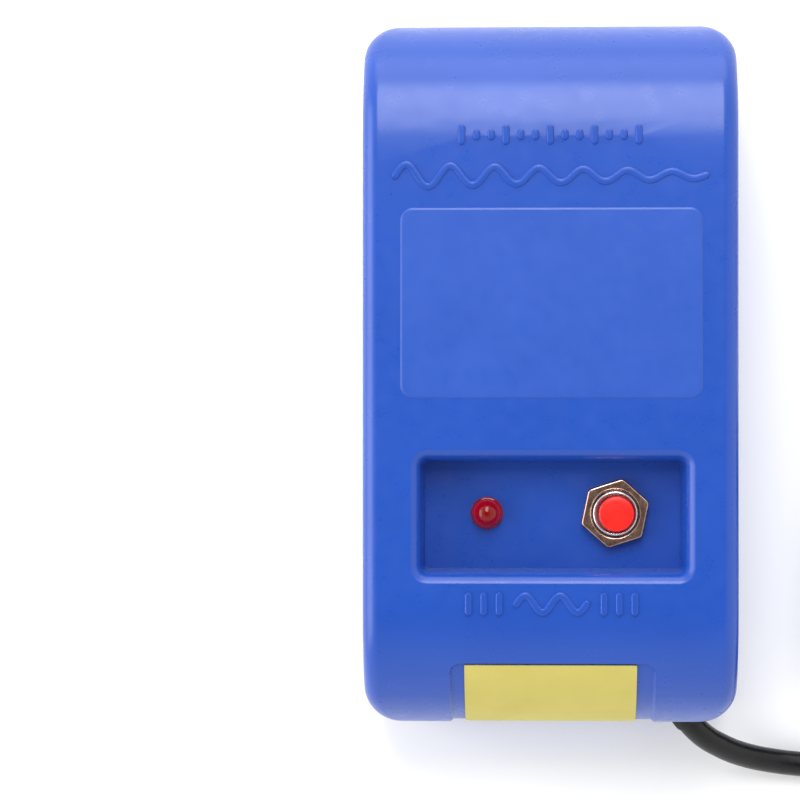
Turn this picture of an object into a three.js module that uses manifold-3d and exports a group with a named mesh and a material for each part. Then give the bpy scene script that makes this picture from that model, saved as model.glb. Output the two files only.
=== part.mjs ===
// A bench demagnetizer for watch repair: a moulded plastic housing with a flat working surface over an
// open E-core electromagnet, a sunk well with a pilot lamp and a push button, and a mains cord.
// Millimetres. +Z is up, +Y is the back, +X is the right-hand side seen from the front.
// The origin is on the table under the middle of the housing.
import * as THREE from "three";
import { mergeVertices } from "three/addons/utils/BufferGeometryUtils.js";
import Module from "manifold-3d";

const wasm = await Module();
wasm.setup();

// ---------------------------------------------------------------- driving dimensions

const LENGTH = 131; // along Y
const WIDTH = 69; // along X
const TOP = 47; // the flat top above the table
const WALL = 2.2;
const END_R = 21.5; // quarter round from the flat top down to each end wall
const CORNER_R = 7.5; // upright corners, seen from above
const EDGE_R = 3; // long top edges
const RIM_Z = 2; // underside of the housing's rim
const CLEAR = 0.3; // gap between pieces that fit together
const SKIN_GAP = 0.02; // gap between flat faces that rest on each other

const FOOT_H = 2.6;
const FOOT_R = 6;
const FOOT = { x: 25, y: 55 };
const BASE_Z = FOOT_H + SKIN_GAP;
const BASE_T = 2.2;
const BASE_TOP = BASE_Z + BASE_T;
const BASE_SCREW = { x: 27.5, y: 32 };

const WELL = { x0: -25.8, x1: 26.7, y0: -38.7, y1: -13.9, corner: 3.3 };
const WELL_DEPTH = 9;
const WELL_RIM = 2; // radius of the well's rounded rim
const WELL_SLOPE = 2.6; // how far the floor's outline lies inside the rim's
const WELL_STEEP = (80 * Math.PI) / 180; // how far the rim rolls over before the straight wall starts
const FLOOR_Z = TOP - WELL_DEPTH;
const FLOOR_UNDER = FLOOR_Z - WALL;

const FILM = { x0: -27.5, x1: 27.9, y0: -4.6, y1: 30.2, corner: 2.3 };
const FILM_T = 0.18;
const RECESS = { x0: -19, x1: 18.5, y: -53.4, z: 14, depth: 0.5 };
const LABEL = { x0: -15.8, x1: 15.9, y: -53.8, z: 16, sunk: 0.1, thick: 0.3 };

const MARK_W = 1.2; // width of a raised stroke
const MARK_H = 0.35; // how far it stands proud
const SCALE = { y: 43.6, pitch: 2.7, each: 6, tall: 3.6, short: 1.9 }; // bars each side of the middle one
const SIDE_BARS = { y: -42.3, tall: 4.2, places: [-15, -12.2, -9.4, 9.8, 12.6, 15.4] };

const BUTTON = { x: 12, y: -25.9 };
const LAMP = { x: -11.7, y: -25.9, leads: 1.3 };

const CORE = { y: 13, z: 12, limb: 8, span: 48, height: 32, stack: 22 };
const YOKE_TOP = CORE.z + CORE.limb;
const POLE_TOP = CORE.z + CORE.height;
const BOLT = { dy: 19, z: 16, r: 1.8, hole: 2.1 };
const BRACKET = { t: 1.5, z: 7, reach: 22.8, top: 19.6 };

const CORD_R = 2.4;
const CORD_EXIT = { x: 25.4, z: 12 };
const BUSHING = { y: -47.8, length: 18, flangeR: 6.2, neckR: 4.9, holeR: 5.3, disc: 1.4 }; // y: inner end
const CLAMP = { x: 22.3, y: -44, post: 6, postR: 2.7, halfY: 3.2, t: 2.2 };
const COIL = { x: 90.5, y: -42, mid: 28.4, lift: 1.1 };
const COIL_LAYER = CORD_R * Math.sqrt(3); // rise from one layer of turns to the next
const TIE = { wide: 7, band: 0.7, angle: (200 * Math.PI) / 180 };
const PLUG = { y0: -6, taper: 18, body: 26, width: 24, thick: 15, tipR: 3.4, rootR: 5.6 };
const BLADE = { x: 6.35, length: 17, root: 6, halfT: 0.75, halfW: 3.15, holeR: 1.6, holeFromTip: 3.4 };

// Screws: shank radius, length under the head, head radius and head height.
const COVER_SCREW = [1.25, 13, 2.9, 1.1];
const BRACKET_SCREW = [1.1, 4.8, 2.6, 1.6];
const CLAMP_SCREW = [1.1, 9, 2.3, 1.6];
const COUNTERBORE = { r: 3.3, depth: 1.2 };

// ---------------------------------------------------------------- materials

const finish = (color, roughness, metalness = 0) =>
  new THREE.MeshStandardMaterial({ color, roughness, metalness });

const blueShell = finish(0x2f5fcb, 0.38);
const blackPlastic = finish(0x1d1d1f, 0.5);
const rubber = finish(0x2a2a2b, 0.8);
const clearFilm = finish(0x4a78d8, 0.25);
const yellowPaper = finish(0xddd276, 0.7);
const redPlastic = finish(0xf0352b, 0.3);
const redLens = finish(0x9c0f16, 0.12);
const nickel = finish(0xb9a994, 0.28, 1);
const brightNickel = finish(0xd8d6d2, 0.2, 1);
const zincSteel = finish(0xb4b7ba, 0.35, 1);
const coreSteel = finish(0x6f7276, 0.45, 1);
const brass = finish(0xc9a24a, 0.3, 1);
const copper = finish(0xb5602c, 0.35, 1);
const creamNylon = finish(0xe6e0cf, 0.5);
const amberTape = finish(0xd8b23a, 0.35);
const fishPaper = finish(0x6d8a6a, 0.8);
const brownPhenolic = finish(0x6b3f22, 0.5);
const resistorBody = finish(0xc9b48a, 0.5);
const leadBrown = finish(0x6a3d20, 0.5);
const leadBlue = finish(0x2b59b5, 0.5);
const leadRed = finish(0xb4241f, 0.5);
const cordJacket = finish(0x2b2b2a, 0.5);

// ---------------------------------------------------------------- solids

// The closed solid of a geometry, for joining and cutting.
function solid(geometry) {
  const bare = geometry.index ? geometry.toNonIndexed() : geometry.clone();
  bare.deleteAttribute("normal");
  bare.deleteAttribute("uv");
  const merged = mergeVertices(bare, 1e-4);
  return new wasm.Manifold(
    new wasm.Mesh({
      numProp: 3,
      vertProperties: merged.attributes.position.array,
      triVerts: new Uint32Array(merged.index.array),
    }),
  );
}

// The faceted geometry of a joined or cut solid.
function geometryOf(body) {
  const mesh = body.getMesh();
  const shared = new THREE.BufferGeometry();
  shared.setAttribute("position", new THREE.BufferAttribute(mesh.vertProperties, 3));
  shared.setIndex(new THREE.BufferAttribute(mesh.triVerts, 1));
  const faceted = shared.toNonIndexed();
  faceted.computeVertexNormals();
  return faceted;
}

const joined = (...geometries) =>
  geometries.map(solid).reduce((whole, next) => whole.add(next));

const cut = (body, ...cutters) =>
  cutters.map(solid).reduce((whole, next) => whole.subtract(next), body);

// A block from its lowest and highest corners.
function block(x0, x1, y0, y1, z0, z1) {
  return new THREE.BoxGeometry(x1 - x0, y1 - y0, z1 - z0).translate(
    (x0 + x1) / 2,
    (y0 + y1) / 2,
    (z0 + z1) / 2,
  );
}

// A solid of revolution about +Z from [radius, height] pairs, listed anticlockwise.
function turned(profile, segments = 24) {
  const points = profile.map(([r, z]) => new THREE.Vector2(r, z));
  return new THREE.LatheGeometry(points, segments).rotateX(Math.PI / 2);
}

const rod = (radius, z0, z1, segments = 16) =>
  turned([[0, z0], [radius, z0], [radius, z1], [0, z1]], segments);

const ring = (inner, outer, z0, z1, segments = 20) =>
  turned([[inner, z0], [outer, z0], [outer, z1], [inner, z1], [inner, z0]], segments);

// A plan outline pulled up from z0 to z1.
function plate(shape, z0, z1, curveSegments = 6) {
  const options = { depth: z1 - z0, bevelEnabled: false, curveSegments };
  return new THREE.ExtrudeGeometry(shape, options).translate(0, 0, z0);
}

function roundedOutline(path, x0, x1, y0, y1, r) {
  path.absarc(x1 - r, y0 + r, r, -Math.PI / 2, 0, false);
  path.absarc(x1 - r, y1 - r, r, 0, Math.PI / 2, false);
  path.absarc(x0 + r, y1 - r, r, Math.PI / 2, Math.PI, false);
  path.absarc(x0 + r, y0 + r, r, Math.PI, 1.5 * Math.PI, false);
  path.closePath();
  return path;
}

const roundedRect = (x0, x1, y0, y1, r) =>
  roundedOutline(new THREE.Shape(), x0, x1, y0, y1, r);

// A rectangular frame centred on (0, y): outer size less the hole.
function frameShape(outerX, outerY, innerX, innerY, y, outerR, innerR = outerR) {
  const shape = roundedRect(-outerX / 2, outerX / 2, y - outerY / 2, y + outerY / 2, outerR);
  shape.holes.push(
    roundedOutline(new THREE.Path(), -innerX / 2, innerX / 2, y - innerY / 2, y + innerY / 2, innerR),
  );
  return shape;
}

// Stands a shape drawn in (Y, Z) upright, so that it is pulled along +X.
const UPRIGHT = new THREE.Matrix4().makeBasis(
  new THREE.Vector3(0, 1, 0),
  new THREE.Vector3(0, 0, 1),
  new THREE.Vector3(1, 0, 0),
);

// A length of wire, cord or stroke: a round section of few sides along a smooth curve.
function strand(curve, radius, steps, sides = 8) {
  const section = new THREE.Shape();
  for (let i = 0; i < sides; i += 1) {
    const turn = (2 * Math.PI * i) / sides;
    const x = radius * Math.cos(turn);
    const y = radius * Math.sin(turn);
    if (i === 0) section.moveTo(x, y);
    else section.lineTo(x, y);
  }
  section.closePath();
  return new THREE.ExtrudeGeometry(section, { steps, bevelEnabled: false, extrudePath: curve });
}

const through = (...points) =>
  new THREE.CatmullRomCurve3(points.map(([x, y, z]) => new THREE.Vector3(x, y, z)), false, "centripetal");

// A pan-head screw with a cross recess, head up, its head's underside at z = 0.
function screw(shankR, length, headR, headH) {
  const body = joined(rod(shankR, -length, 0.01, 8), turned([
    [0, 0],
    [headR, 0],
    [headR, headH * 0.5],
    [headR * 0.7, headH],
    [0, headH],
  ], 12));
  const arm = headR * 0.62;
  const slot = headR * 0.14;
  const floor = headH * 0.45;
  const top = headH + 1;
  return geometryOf(
    cut(body, block(-arm, arm, -slot, slot, floor, top), block(-slot, slot, -arm, arm, floor, top)),
  );
}

// ---------------------------------------------------------------- housing

// The housing from the side, pulled in by inset: a flat top and a quarter round at each end.
function sideShape(inset) {
  const end = LENGTH / 2 - inset;
  const top = TOP - inset;
  const r = END_R - inset;
  const shape = new THREE.Shape();
  shape.moveTo(-end, -5);
  shape.lineTo(end, -5);
  shape.absarc(end - r, top - r, r, 0, Math.PI / 2, false);
  shape.absarc(-end + r, top - r, r, Math.PI / 2, Math.PI, false);
  shape.closePath();
  return shape;
}

// The side shape pulled across the width, its long edges rounded by edge.
function acrossWidth(inset, width, edge, curveSegments = 10) {
  return new THREE.ExtrudeGeometry(sideShape(inset), {
    depth: width - 2 * edge,
    bevelEnabled: edge > 0,
    bevelSize: edge,
    bevelThickness: edge,
    bevelOffset: -edge,
    bevelSegments: 3,
    curveSegments,
  })
    .translate(0, 0, edge - width / 2)
    .applyMatrix4(UPRIGHT);
}

// The housing's plan outline, pulled in by inset.
const planShape = (inset) =>
  roundedRect(
    inset - WIDTH / 2,
    WIDTH / 2 - inset,
    inset - LENGTH / 2,
    LENGTH / 2 - inset,
    CORNER_R - inset,
  );

// A solid through rounded outlines of the same shape: levels lists [inset, z] from the bottom up.
function stacked({ x0, x1, y0, y1, corner }, levels) {
  const arcSteps = 4;
  const middle = [(x0 + x1) / 2, (y0 + y1) / 2];
  const loops = levels.map(([inset, z]) => {
    const shape = roundedRect(x0 + inset, x1 - inset, y0 + inset, y1 - inset, corner - inset);
    return shape.getPoints(arcSteps).slice(0, -1).map(({ x, y }) => [x, y, z]);
  });
  const count = loops[0].length;
  const triangles = [];
  const at = (level, i) => loops[level][i % count];
  for (let i = 0; i < count; i += 1) {
    for (let level = 1; level < loops.length; level += 1) {
      triangles.push(at(level - 1, i), at(level - 1, i + 1), at(level, i + 1));
      triangles.push(at(level - 1, i), at(level, i + 1), at(level, i));
    }
    const top = loops.length - 1;
    triangles.push([...middle, levels[0][1]], at(0, i + 1), at(0, i));
    triangles.push([...middle, levels[top][1]], at(top, i), at(top, i + 1));
  }
  const geometry = new THREE.BufferGeometry();
  geometry.setAttribute("position", new THREE.Float32BufferAttribute(triangles.flat(), 3));
  return geometry;
}

// The tub of the control well: steep walls under a rounded rim, grown outwards and downwards by grow.
function wellTub(grow) {
  const levels = [[WELL_SLOPE - grow, FLOOR_Z - grow]];
  const arcSteps = 4;
  for (let i = arcSteps; i >= 0; i -= 1) {
    const angle = (WELL_STEEP * i) / arcSteps;
    levels.push([WELL_RIM * Math.sin(angle) - grow, TOP - WELL_RIM * (1 - Math.cos(angle))]);
  }
  levels.push([-grow, TOP + 1]);
  return stacked(WELL, levels);
}

// A stroke that swings about y and dies away, or keeps its swing when fade is 1.
class Wave extends THREE.Curve {
  constructor(x0, x1, y, swing, turns, fade) {
    super();
    Object.assign(this, { x0, x1, y, swing, turns, fade });
  }
  getPoint(t, target = new THREE.Vector3()) {
    const size = this.swing * (1 + (this.fade - 1) * t);
    return target.set(
      this.x0 + (this.x1 - this.x0) * t,
      this.y + size * Math.sin(2 * Math.PI * this.turns * t),
      TOP + MARK_H - MARK_W / 2,
    );
  }
}

const bar = (x, y, tall) =>
  block(x - MARK_W / 2, x + MARK_W / 2, y - tall / 2, y + tall / 2, TOP - 0.5, TOP + MARK_H);

// Plain raised marks: a scale of bars, a wave that dies away, and a small even wave between bars.
function raisedMarks() {
  const marks = [strand(new Wave(-28.4, 28.4, 36.1, 2.15, 7, 0.25), MARK_W / 2, 63, 6)];
  for (let i = -SCALE.each; i <= SCALE.each; i += 1) {
    marks.push(bar(SCALE.pitch * i, SCALE.y, i % 3 === 0 ? SCALE.tall : SCALE.short));
  }
  marks.push(strand(new Wave(-6.2, 6.6, SIDE_BARS.y, 1.5, 2, 1), MARK_W / 2, 18, 6));
  for (const x of SIDE_BARS.places) marks.push(bar(x, SIDE_BARS.y, SIDE_BARS.tall));
  return marks.map(solid);
}

// Posts inside the housing that the base screws bite into.
function housingPosts() {
  const posts = [];
  for (const sx of [-1, 1]) {
    for (const sy of [-1, 1]) {
      const x = sx * BASE_SCREW.x;
      const y = sy * BASE_SCREW.y;
      const post = joined(
        rod(4, BASE_TOP + CLEAR, TOP - 1, 12).translate(x, y, 0),
        block(Math.min(x, sx * 33), Math.max(x, sx * 33), y - 1, y + 1, 8, TOP - 2),
      );
      posts.push(post);
    }
  }
  return posts;
}

function topShell() {
  const outer = solid(acrossWidth(0, WIDTH, EDGE_R, 12))
    .intersect(solid(plate(planShape(0), RIM_Z, TOP + 1, 6)));
  const hollow = solid(acrossWidth(WALL, WIDTH - 2 * WALL, EDGE_R - WALL, 8))
    .intersect(solid(plate(planShape(WALL), RIM_Z - 1, TOP, 4)))
    .subtract(solid(wellTub(WALL)));
  let shell = outer.subtract(hollow);
  for (const post of housingPosts()) shell = shell.add(post.intersect(outer));
  for (const mark of raisedMarks()) shell = shell.add(mark);
  shell = shell.subtract(solid(wellTub(0)));
  const recess = solid(block(RECESS.x0, RECESS.x1, -LENGTH, RECESS.y, RECESS.z, TOP))
    .subtract(solid(acrossWidth(RECESS.depth, WIDTH, 0, 12)));
  const pilots = [-1, 1].flatMap((sx) =>
    [-1, 1].map((sy) => rod(1.6, 0, 20, 8).translate(sx * BASE_SCREW.x, sy * BASE_SCREW.y, 0)),
  );
  const buttonHole = rod(SWITCH.threadR + CLEAR, FLOOR_UNDER - 1, TOP, 24).translate(BUTTON.x, BUTTON.y, 0);
  const lampHole = rod(LENS.stemR + CLEAR, FLOOR_UNDER - 1, TOP, 24).translate(LAMP.x, LAMP.y, 0);
  const cordHole = rod(BUSHING.holeR, -2, WALL + 1, 20)
    .rotateX(-Math.PI / 2)
    .translate(CORD_EXIT.x, -LENGTH / 2, CORD_EXIT.z);
  return geometryOf(cut(shell.subtract(recess), ...pilots, buttonHole, lampHole, cordHole));
}

const workSurfaceFilm = () =>
  plate(roundedRect(FILM.x0, FILM.x1, FILM.y0, FILM.y1, FILM.corner), TOP + SKIN_GAP, TOP + FILM_T);

// The label lies in its recess and follows the curve of the front end.
function frontLabel() {
  const skin = solid(acrossWidth(LABEL.sunk, WIDTH, 0, 12))
    .subtract(solid(acrossWidth(LABEL.sunk + LABEL.thick, WIDTH + 2, 0, 12)));
  const patch = solid(block(LABEL.x0, LABEL.x1, -LENGTH, LABEL.y, LABEL.z, TOP));
  return geometryOf(skin.intersect(patch));
}

// ---------------------------------------------------------------- base

function basePlate() {
  const bracketPosts = bracketScrewPlaces().map(([x, y]) =>
    rod(3.4, BASE_TOP - 0.1, BRACKET.z - SKIN_GAP, 12).translate(x, y, 0),
  );
  const clampPosts = [-1, 1].map((side) =>
    rod(CLAMP.postR, BASE_TOP - 0.1, CORD_EXIT.z + CORD_R, 12)
      .translate(CLAMP.x + side * CLAMP.post, CLAMP.y, 0),
  );
  const saddle = block(
    CLAMP.x - 3,
    CLAMP.x + 3,
    CLAMP.y - 3,
    CLAMP.y + 3,
    BASE_TOP - 0.1,
    CORD_EXIT.z - CORD_R - CLEAR,
  );
  const body = joined(
    plate(planShape(WALL + CLEAR), BASE_Z, BASE_TOP, 4),
    ...bracketPosts,
    ...clampPosts,
    saddle,
  );
  const holes = [];
  for (const sx of [-1, 1]) {
    for (const sy of [-1, 1]) {
      const place = [sx * BASE_SCREW.x, sy * BASE_SCREW.y, 0];
      holes.push(rod(1.7, 0, 10, 12).translate(...place));
      holes.push(rod(COUNTERBORE.r, 0, BASE_Z + COUNTERBORE.depth, 16).translate(...place));
    }
  }
  for (const [x, y] of bracketScrewPlaces()) {
    holes.push(rod(1.4, BASE_Z + 0.6, 10, 8).translate(x, y, 0));
  }
  for (const side of [-1, 1]) {
    holes.push(rod(1.4, BASE_Z + 2, 20, 8).translate(CLAMP.x + side * CLAMP.post, CLAMP.y, 0));
  }
  return geometryOf(cut(body, ...holes));
}

const rubberFoot = () =>
  turned([[0, 0], [FOOT_R - 1, 0], [FOOT_R - 0.4, 0.6], [FOOT_R, FOOT_H], [0, FOOT_H]], 20);

// ---------------------------------------------------------------- electromagnet

// One E lamination seen from the side, pulled in by inset.
function laminationShape(inset) {
  const half = CORE.span / 2 - inset;
  const limb = CORE.limb;
  const shape = new THREE.Shape();
  const corners = [
    [-half, CORE.z + inset],
    [half, CORE.z + inset],
    [half, POLE_TOP - inset],
    [half - limb + 2 * inset, POLE_TOP - inset],
    [half - limb + 2 * inset, YOKE_TOP - inset],
    [limb - inset, YOKE_TOP - inset],
    [limb - inset, POLE_TOP - inset],
  ];
  const mirrored = corners.slice(2).reverse().map(([y, z]) => [-y, z]);
  for (const [i, [y, z]] of [...corners, ...mirrored].entries()) {
    if (i === 0) shape.moveTo(CORE.y + y, z);
    else shape.lineTo(CORE.y + y, z);
  }
  shape.closePath();
  return shape;
}

// The stack: packs of laminations with shallow grooves between them, drilled for the two bolts.
function coreLaminations() {
  const packs = 7;
  const pitch = CORE.stack / packs;
  const groove = 0.4;
  const pulled = (shape, x0, x1) =>
    new THREE.ExtrudeGeometry(shape, { depth: x1 - x0, bevelEnabled: false })
      .translate(0, 0, x0)
      .applyMatrix4(UPRIGHT);
  let stack = solid(pulled(laminationShape(0.25), -CORE.stack / 2 + 0.2, CORE.stack / 2 - 0.2));
  for (let i = 0; i < packs; i += 1) {
    const start = -CORE.stack / 2 + i * pitch;
    stack = stack.add(solid(pulled(laminationShape(0), start + groove / 2, start + pitch - groove / 2)));
  }
  const holes = [-1, 1].map((side) =>
    rod(BOLT.hole, -CORE.stack, CORE.stack, 16)
      .rotateY(Math.PI / 2)
      .translate(0, CORE.y + side * BOLT.dy, BOLT.z),
  );
  return geometryOf(cut(stack, ...holes));
}

const poleInsulator = () =>
  plate(
    roundedRect(
      -CORE.stack / 2 - 1,
      CORE.stack / 2 + 1,
      CORE.y - CORE.span / 2 - 0.5,
      CORE.y + CORE.span / 2 + 0.5,
      1,
    ),
    POLE_TOP + 0.1,
    POLE_TOP + 0.5,
    2,
  );

const BOBBIN_Z0 = YOKE_TOP + 0.4;
const BOBBIN_Z1 = POLE_TOP - 0.4;
const LIMB_X = CORE.stack + 2 * CLEAR;
const LIMB_Y = 2 * CORE.limb + 2 * CLEAR;
const FLANGE_X = LIMB_X + 16;
const FLANGE_Y = 4 * CORE.limb - 0.8;

function coilBobbin() {
  const tube = frameShape(LIMB_X + 2, LIMB_Y + 2, LIMB_X, LIMB_Y, CORE.y, 0.6);
  const flange = frameShape(FLANGE_X, FLANGE_Y, LIMB_X, LIMB_Y, CORE.y, 0.6);
  return geometryOf(
    joined(
      plate(tube, BOBBIN_Z0, BOBBIN_Z1, 2),
      plate(flange, BOBBIN_Z0, BOBBIN_Z0 + 1, 2),
      plate(flange, BOBBIN_Z1 - 1, BOBBIN_Z1, 2),
    ),
  );
}

function copperWinding() {
  const room = 2 + 2 * CLEAR;
  const wound = frameShape(FLANGE_X - 2.2, FLANGE_Y - 2.2, LIMB_X + room, LIMB_Y + room, CORE.y, 2, 0.8);
  return plate(wound, BOBBIN_Z0 + 1 + CLEAR, BOBBIN_Z1 - 1 - CLEAR, 4);
}

const windingTape = () =>
  plate(
    frameShape(FLANGE_X - 0.6, FLANGE_Y - 0.6, FLANGE_X - 1.6, FLANGE_Y - 1.6, CORE.y, 2.3, 1.6),
    BOBBIN_Z0 + 3.6,
    BOBBIN_Z1 - 3.6,
    4,
  );

const bracketScrewPlaces = () =>
  [-1, 1].flatMap((sx) => [-1, 1].map((sy) => [sx * 19, CORE.y + sy * BOLT.dy]));

// A steel angle along one side of the yoke: an upright leaf on the core and feet on the base posts.
function coreBracket(side) {
  const inner = CORE.stack / 2 + CLEAR;
  const y0 = CORE.y - CORE.span / 2;
  const y1 = CORE.y + CORE.span / 2;
  const leaf = [side * inner, side * (inner + BRACKET.t)].sort((a, b) => a - b);
  const foot = [side * inner, side * BRACKET.reach].sort((a, b) => a - b);
  const body = joined(
    block(...leaf, y0, y1, BRACKET.z, BRACKET.top),
    block(...foot, y0, y1, BRACKET.z, BRACKET.z + BRACKET.t),
  );
  const cutters = [block(...[side * 14, side * 30].sort((a, b) => a - b), y0 + 11, y1 - 11, 0, 20)];
  for (const end of [-1, 1]) {
    const y = CORE.y + end * BOLT.dy;
    cutters.push(rod(BOLT.hole, -30, 30, 16).rotateY(Math.PI / 2).translate(0, y, BOLT.z));
    cutters.push(rod(1.6, 0, 15, 12).translate(side * 19, y, 0));
  }
  return geometryOf(cut(body, ...cutters));
}

const hexagon = (acrossFlats, holeR, turn = 0) => {
  const shape = new THREE.Shape();
  const corner = acrossFlats / Math.sqrt(3);
  for (let i = 0; i < 6; i += 1) {
    const angle = turn + (i * Math.PI) / 3;
    if (i === 0) shape.moveTo(corner * Math.cos(angle), corner * Math.sin(angle));
    else shape.lineTo(corner * Math.cos(angle), corner * Math.sin(angle));
  }
  shape.closePath();
  if (holeR > 0) shape.holes.push(new THREE.Path().absarc(0, 0, holeR, 0, 2 * Math.PI, true));
  return shape;
};

const BRACKET_FACE = CORE.stack / 2 + CLEAR + BRACKET.t;

// A bolt right through both brackets and the yoke, its hexagon head on the left.
const coreBolt = () =>
  geometryOf(
    joined(
      rod(BOLT.r, -BRACKET_FACE - 0.5, BRACKET_FACE + 4, 16),
      plate(hexagon(7, 0), -BRACKET_FACE - 3, -BRACKET_FACE - SKIN_GAP),
    ),
  ).rotateY(Math.PI / 2);

const coreNut = () =>
  plate(hexagon(7, BOLT.r + 0.25), BRACKET_FACE + SKIN_GAP, BRACKET_FACE + 3, 6).rotateY(Math.PI / 2);

// ---------------------------------------------------------------- push button switch

// Heights are measured from the well's floor.
const SWITCH = {
  bodyZ: -17,
  bodyTop: -4.7,
  bodyHalf: 6.2,
  cavityR: 4.7,
  flangeZ: -4.4,
  flangeTop: -2.75,
  flangeR: 5.8,
  threadR: 4.1,
  boreR: 3.62,
  webR: 1.9,
  webTop: -1.8,
  rimZ: 3.4,
  floorZ: -15,
  bridgeZ: -6.6,
  springR: 2.3,
  terminalX: 3.6,
};
const NUT = { acrossFlats: 11.6, z0: 0.1, z1: 2.4, turn: (18 * Math.PI) / 180 };
const CAP = { r: 3.3, z0: 0.2, z1: 4.9 };
const PLUNGER = { r: 1.55, collarR: 2.6, z0: -12.5, collarZ: -5.8, collarTop: -4.8, z1: 0.15 };
const TERMINAL = { halfT: 0.25, halfW: 1.2, z0: -23, z1: -8.3, holeR: 0.6, holeZ: -21.4 };

function switchBody() {
  const { bodyHalf, bodyZ, bodyTop, floorZ, cavityR, terminalX } = SWITCH;
  const cup = solid(plate(roundedRect(-bodyHalf, bodyHalf, -bodyHalf, bodyHalf, 1.5), bodyZ, bodyTop, 3));
  const slots = [-1, 1].map((side) =>
    block(side * terminalX - 0.6, side * terminalX + 0.6, -1.6, 1.6, bodyZ - 1, floorZ + 1),
  );
  return geometryOf(cut(cup, rod(cavityR, floorZ, bodyTop + 1, 24), ...slots));
}

// The threaded neck: a flange inside, a thin wall round the cap, and a web that guides the plunger.
const switchBushing = () =>
  turned(
    [
      [SWITCH.webR, SWITCH.flangeZ],
      [SWITCH.flangeR, SWITCH.flangeZ],
      [SWITCH.flangeR, SWITCH.flangeTop],
      [SWITCH.threadR, SWITCH.flangeTop],
      [SWITCH.threadR, SWITCH.rimZ - 0.25],
      [SWITCH.threadR - 0.2, SWITCH.rimZ],
      [SWITCH.boreR, SWITCH.rimZ],
      [SWITCH.boreR, SWITCH.webTop],
      [SWITCH.webR, SWITCH.webTop],
      [SWITCH.webR, SWITCH.flangeZ],
    ],
    24,
  );

const lockWasher = () => ring(SWITCH.threadR + CLEAR, 6.2, SWITCH.flangeTop + 0.05, -WALL - 0.05);

const switchNut = () =>
  plate(hexagon(NUT.acrossFlats, SWITCH.threadR + CLEAR, NUT.turn), NUT.z0, NUT.z1, 10);

const buttonCap = () =>
  turned(
    [
      [0, CAP.z0],
      [CAP.r, CAP.z0],
      [CAP.r, CAP.z1 - 0.4],
      [CAP.r - 0.14, CAP.z1 - 0.12],
      [CAP.r - 0.45, CAP.z1],
      [0, CAP.z1],
    ],
    28,
  );

const switchPlunger = () =>
  turned(
    [
      [0, PLUNGER.z0],
      [PLUNGER.r, PLUNGER.z0],
      [PLUNGER.r, PLUNGER.collarZ],
      [PLUNGER.collarR, PLUNGER.collarZ],
      [PLUNGER.collarR, PLUNGER.collarTop],
      [PLUNGER.r, PLUNGER.collarTop],
      [PLUNGER.r, PLUNGER.z1],
      [0, PLUNGER.z1],
    ],
    20,
  );

const contactBridge = () => ring(1.8, 4, SWITCH.bridgeZ, SWITCH.bridgeZ + 0.5, 24);

class Helix extends THREE.Curve {
  constructor(radius, z0, z1, turns) {
    super();
    Object.assign(this, { radius, z0, z1, turns });
  }
  getPoint(t, target = new THREE.Vector3()) {
    const angle = 2 * Math.PI * this.turns * t;
    const z = this.z0 + (this.z1 - this.z0) * t;
    return target.set(this.radius * Math.cos(angle), this.radius * Math.sin(angle), z);
  }
}

const returnSpring = () =>
  strand(new Helix(SWITCH.springR, SWITCH.floorZ + 0.35, SWITCH.bridgeZ - 0.35, 4.5), 0.25, 45, 5);

// A brass blade up through the floor of the switch, with a solder tab below.
function switchTerminal() {
  const { halfT, halfW, z0, z1, holeR, holeZ } = TERMINAL;
  const blade = solid(block(-halfT, halfT, -halfW, halfW, z0, z1));
  return geometryOf(cut(blade, rod(holeR, -2, 2, 12).rotateY(Math.PI / 2).translate(0, 0, holeZ)));
}

// ---------------------------------------------------------------- pilot lamp

// Heights are measured from the well's floor.
const LENS = { stemR: 2.45, stemZ: -3.4, flangeR: 3, flangeTop: 0.8, domeR: 2.5, domeZ: 2 };

function lampLens() {
  const { stemR, stemZ, flangeR, flangeTop, domeR, domeZ } = LENS;
  const profile = [
    [0, stemZ],
    [stemR, stemZ],
    [stemR, SKIN_GAP],
    [flangeR, SKIN_GAP],
    [flangeR, flangeTop],
    [domeR, flangeTop],
  ];
  const steps = 6;
  for (let i = 0; i < steps; i += 1) {
    const angle = (i * Math.PI) / 2 / steps;
    profile.push([domeR * Math.cos(angle), domeZ + domeR * Math.sin(angle)]);
  }
  profile.push([0, domeZ + domeR]);
  return turned(profile, 20);
}

const lampRetainer = () => ring(LENS.stemR + CLEAR, 4.4, -WALL - 1.5, -WALL - 0.05, 24);

const lampLead = (z0) => rod(0.3, z0, LENS.stemZ - SKIN_GAP, 8);

const lampResistor = () =>
  turned([[0, -22], [0.9, -22], [1.25, -21.5], [1.25, -16], [0.9, -15.5], [0, -15.5]], 14);

// ---------------------------------------------------------------- mains cord

// From the cord's end inside the housing, out through the bushing and along the table to the coil.
const cordRoute = through(
  [22.3, -38, 12],
  [22.3, -43.5, 12],
  [22.3, -49, 12],
  [22.3, -54.2, 12],
  [23.2, -59.9, 12],
  [25.4, -64.8, 11.8],
  [27.5, -67.5, 11.1],
  [30, -69.8, 9.8],
  [32.6, -71.4, 8.3],
  [35.7, -72.9, 6.5],
  [39.3, -74.1, 4.7],
  [44.2, -75.1, 3.1],
  [49.1, -75.7, 2.5],
  [56, -76.4, 2.4],
  [62, -76.9, 2.4],
  [67, -77.3, 2.5],
);

// Where along the route, as a share of its length, it reaches a given y going forwards.
function shareAtY(y) {
  const steps = 400;
  for (let i = 0; i <= steps; i += 1) {
    if (cordRoute.getPointAt(i / steps).y <= y) return i / steps;
  }
  return 1;
}

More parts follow.
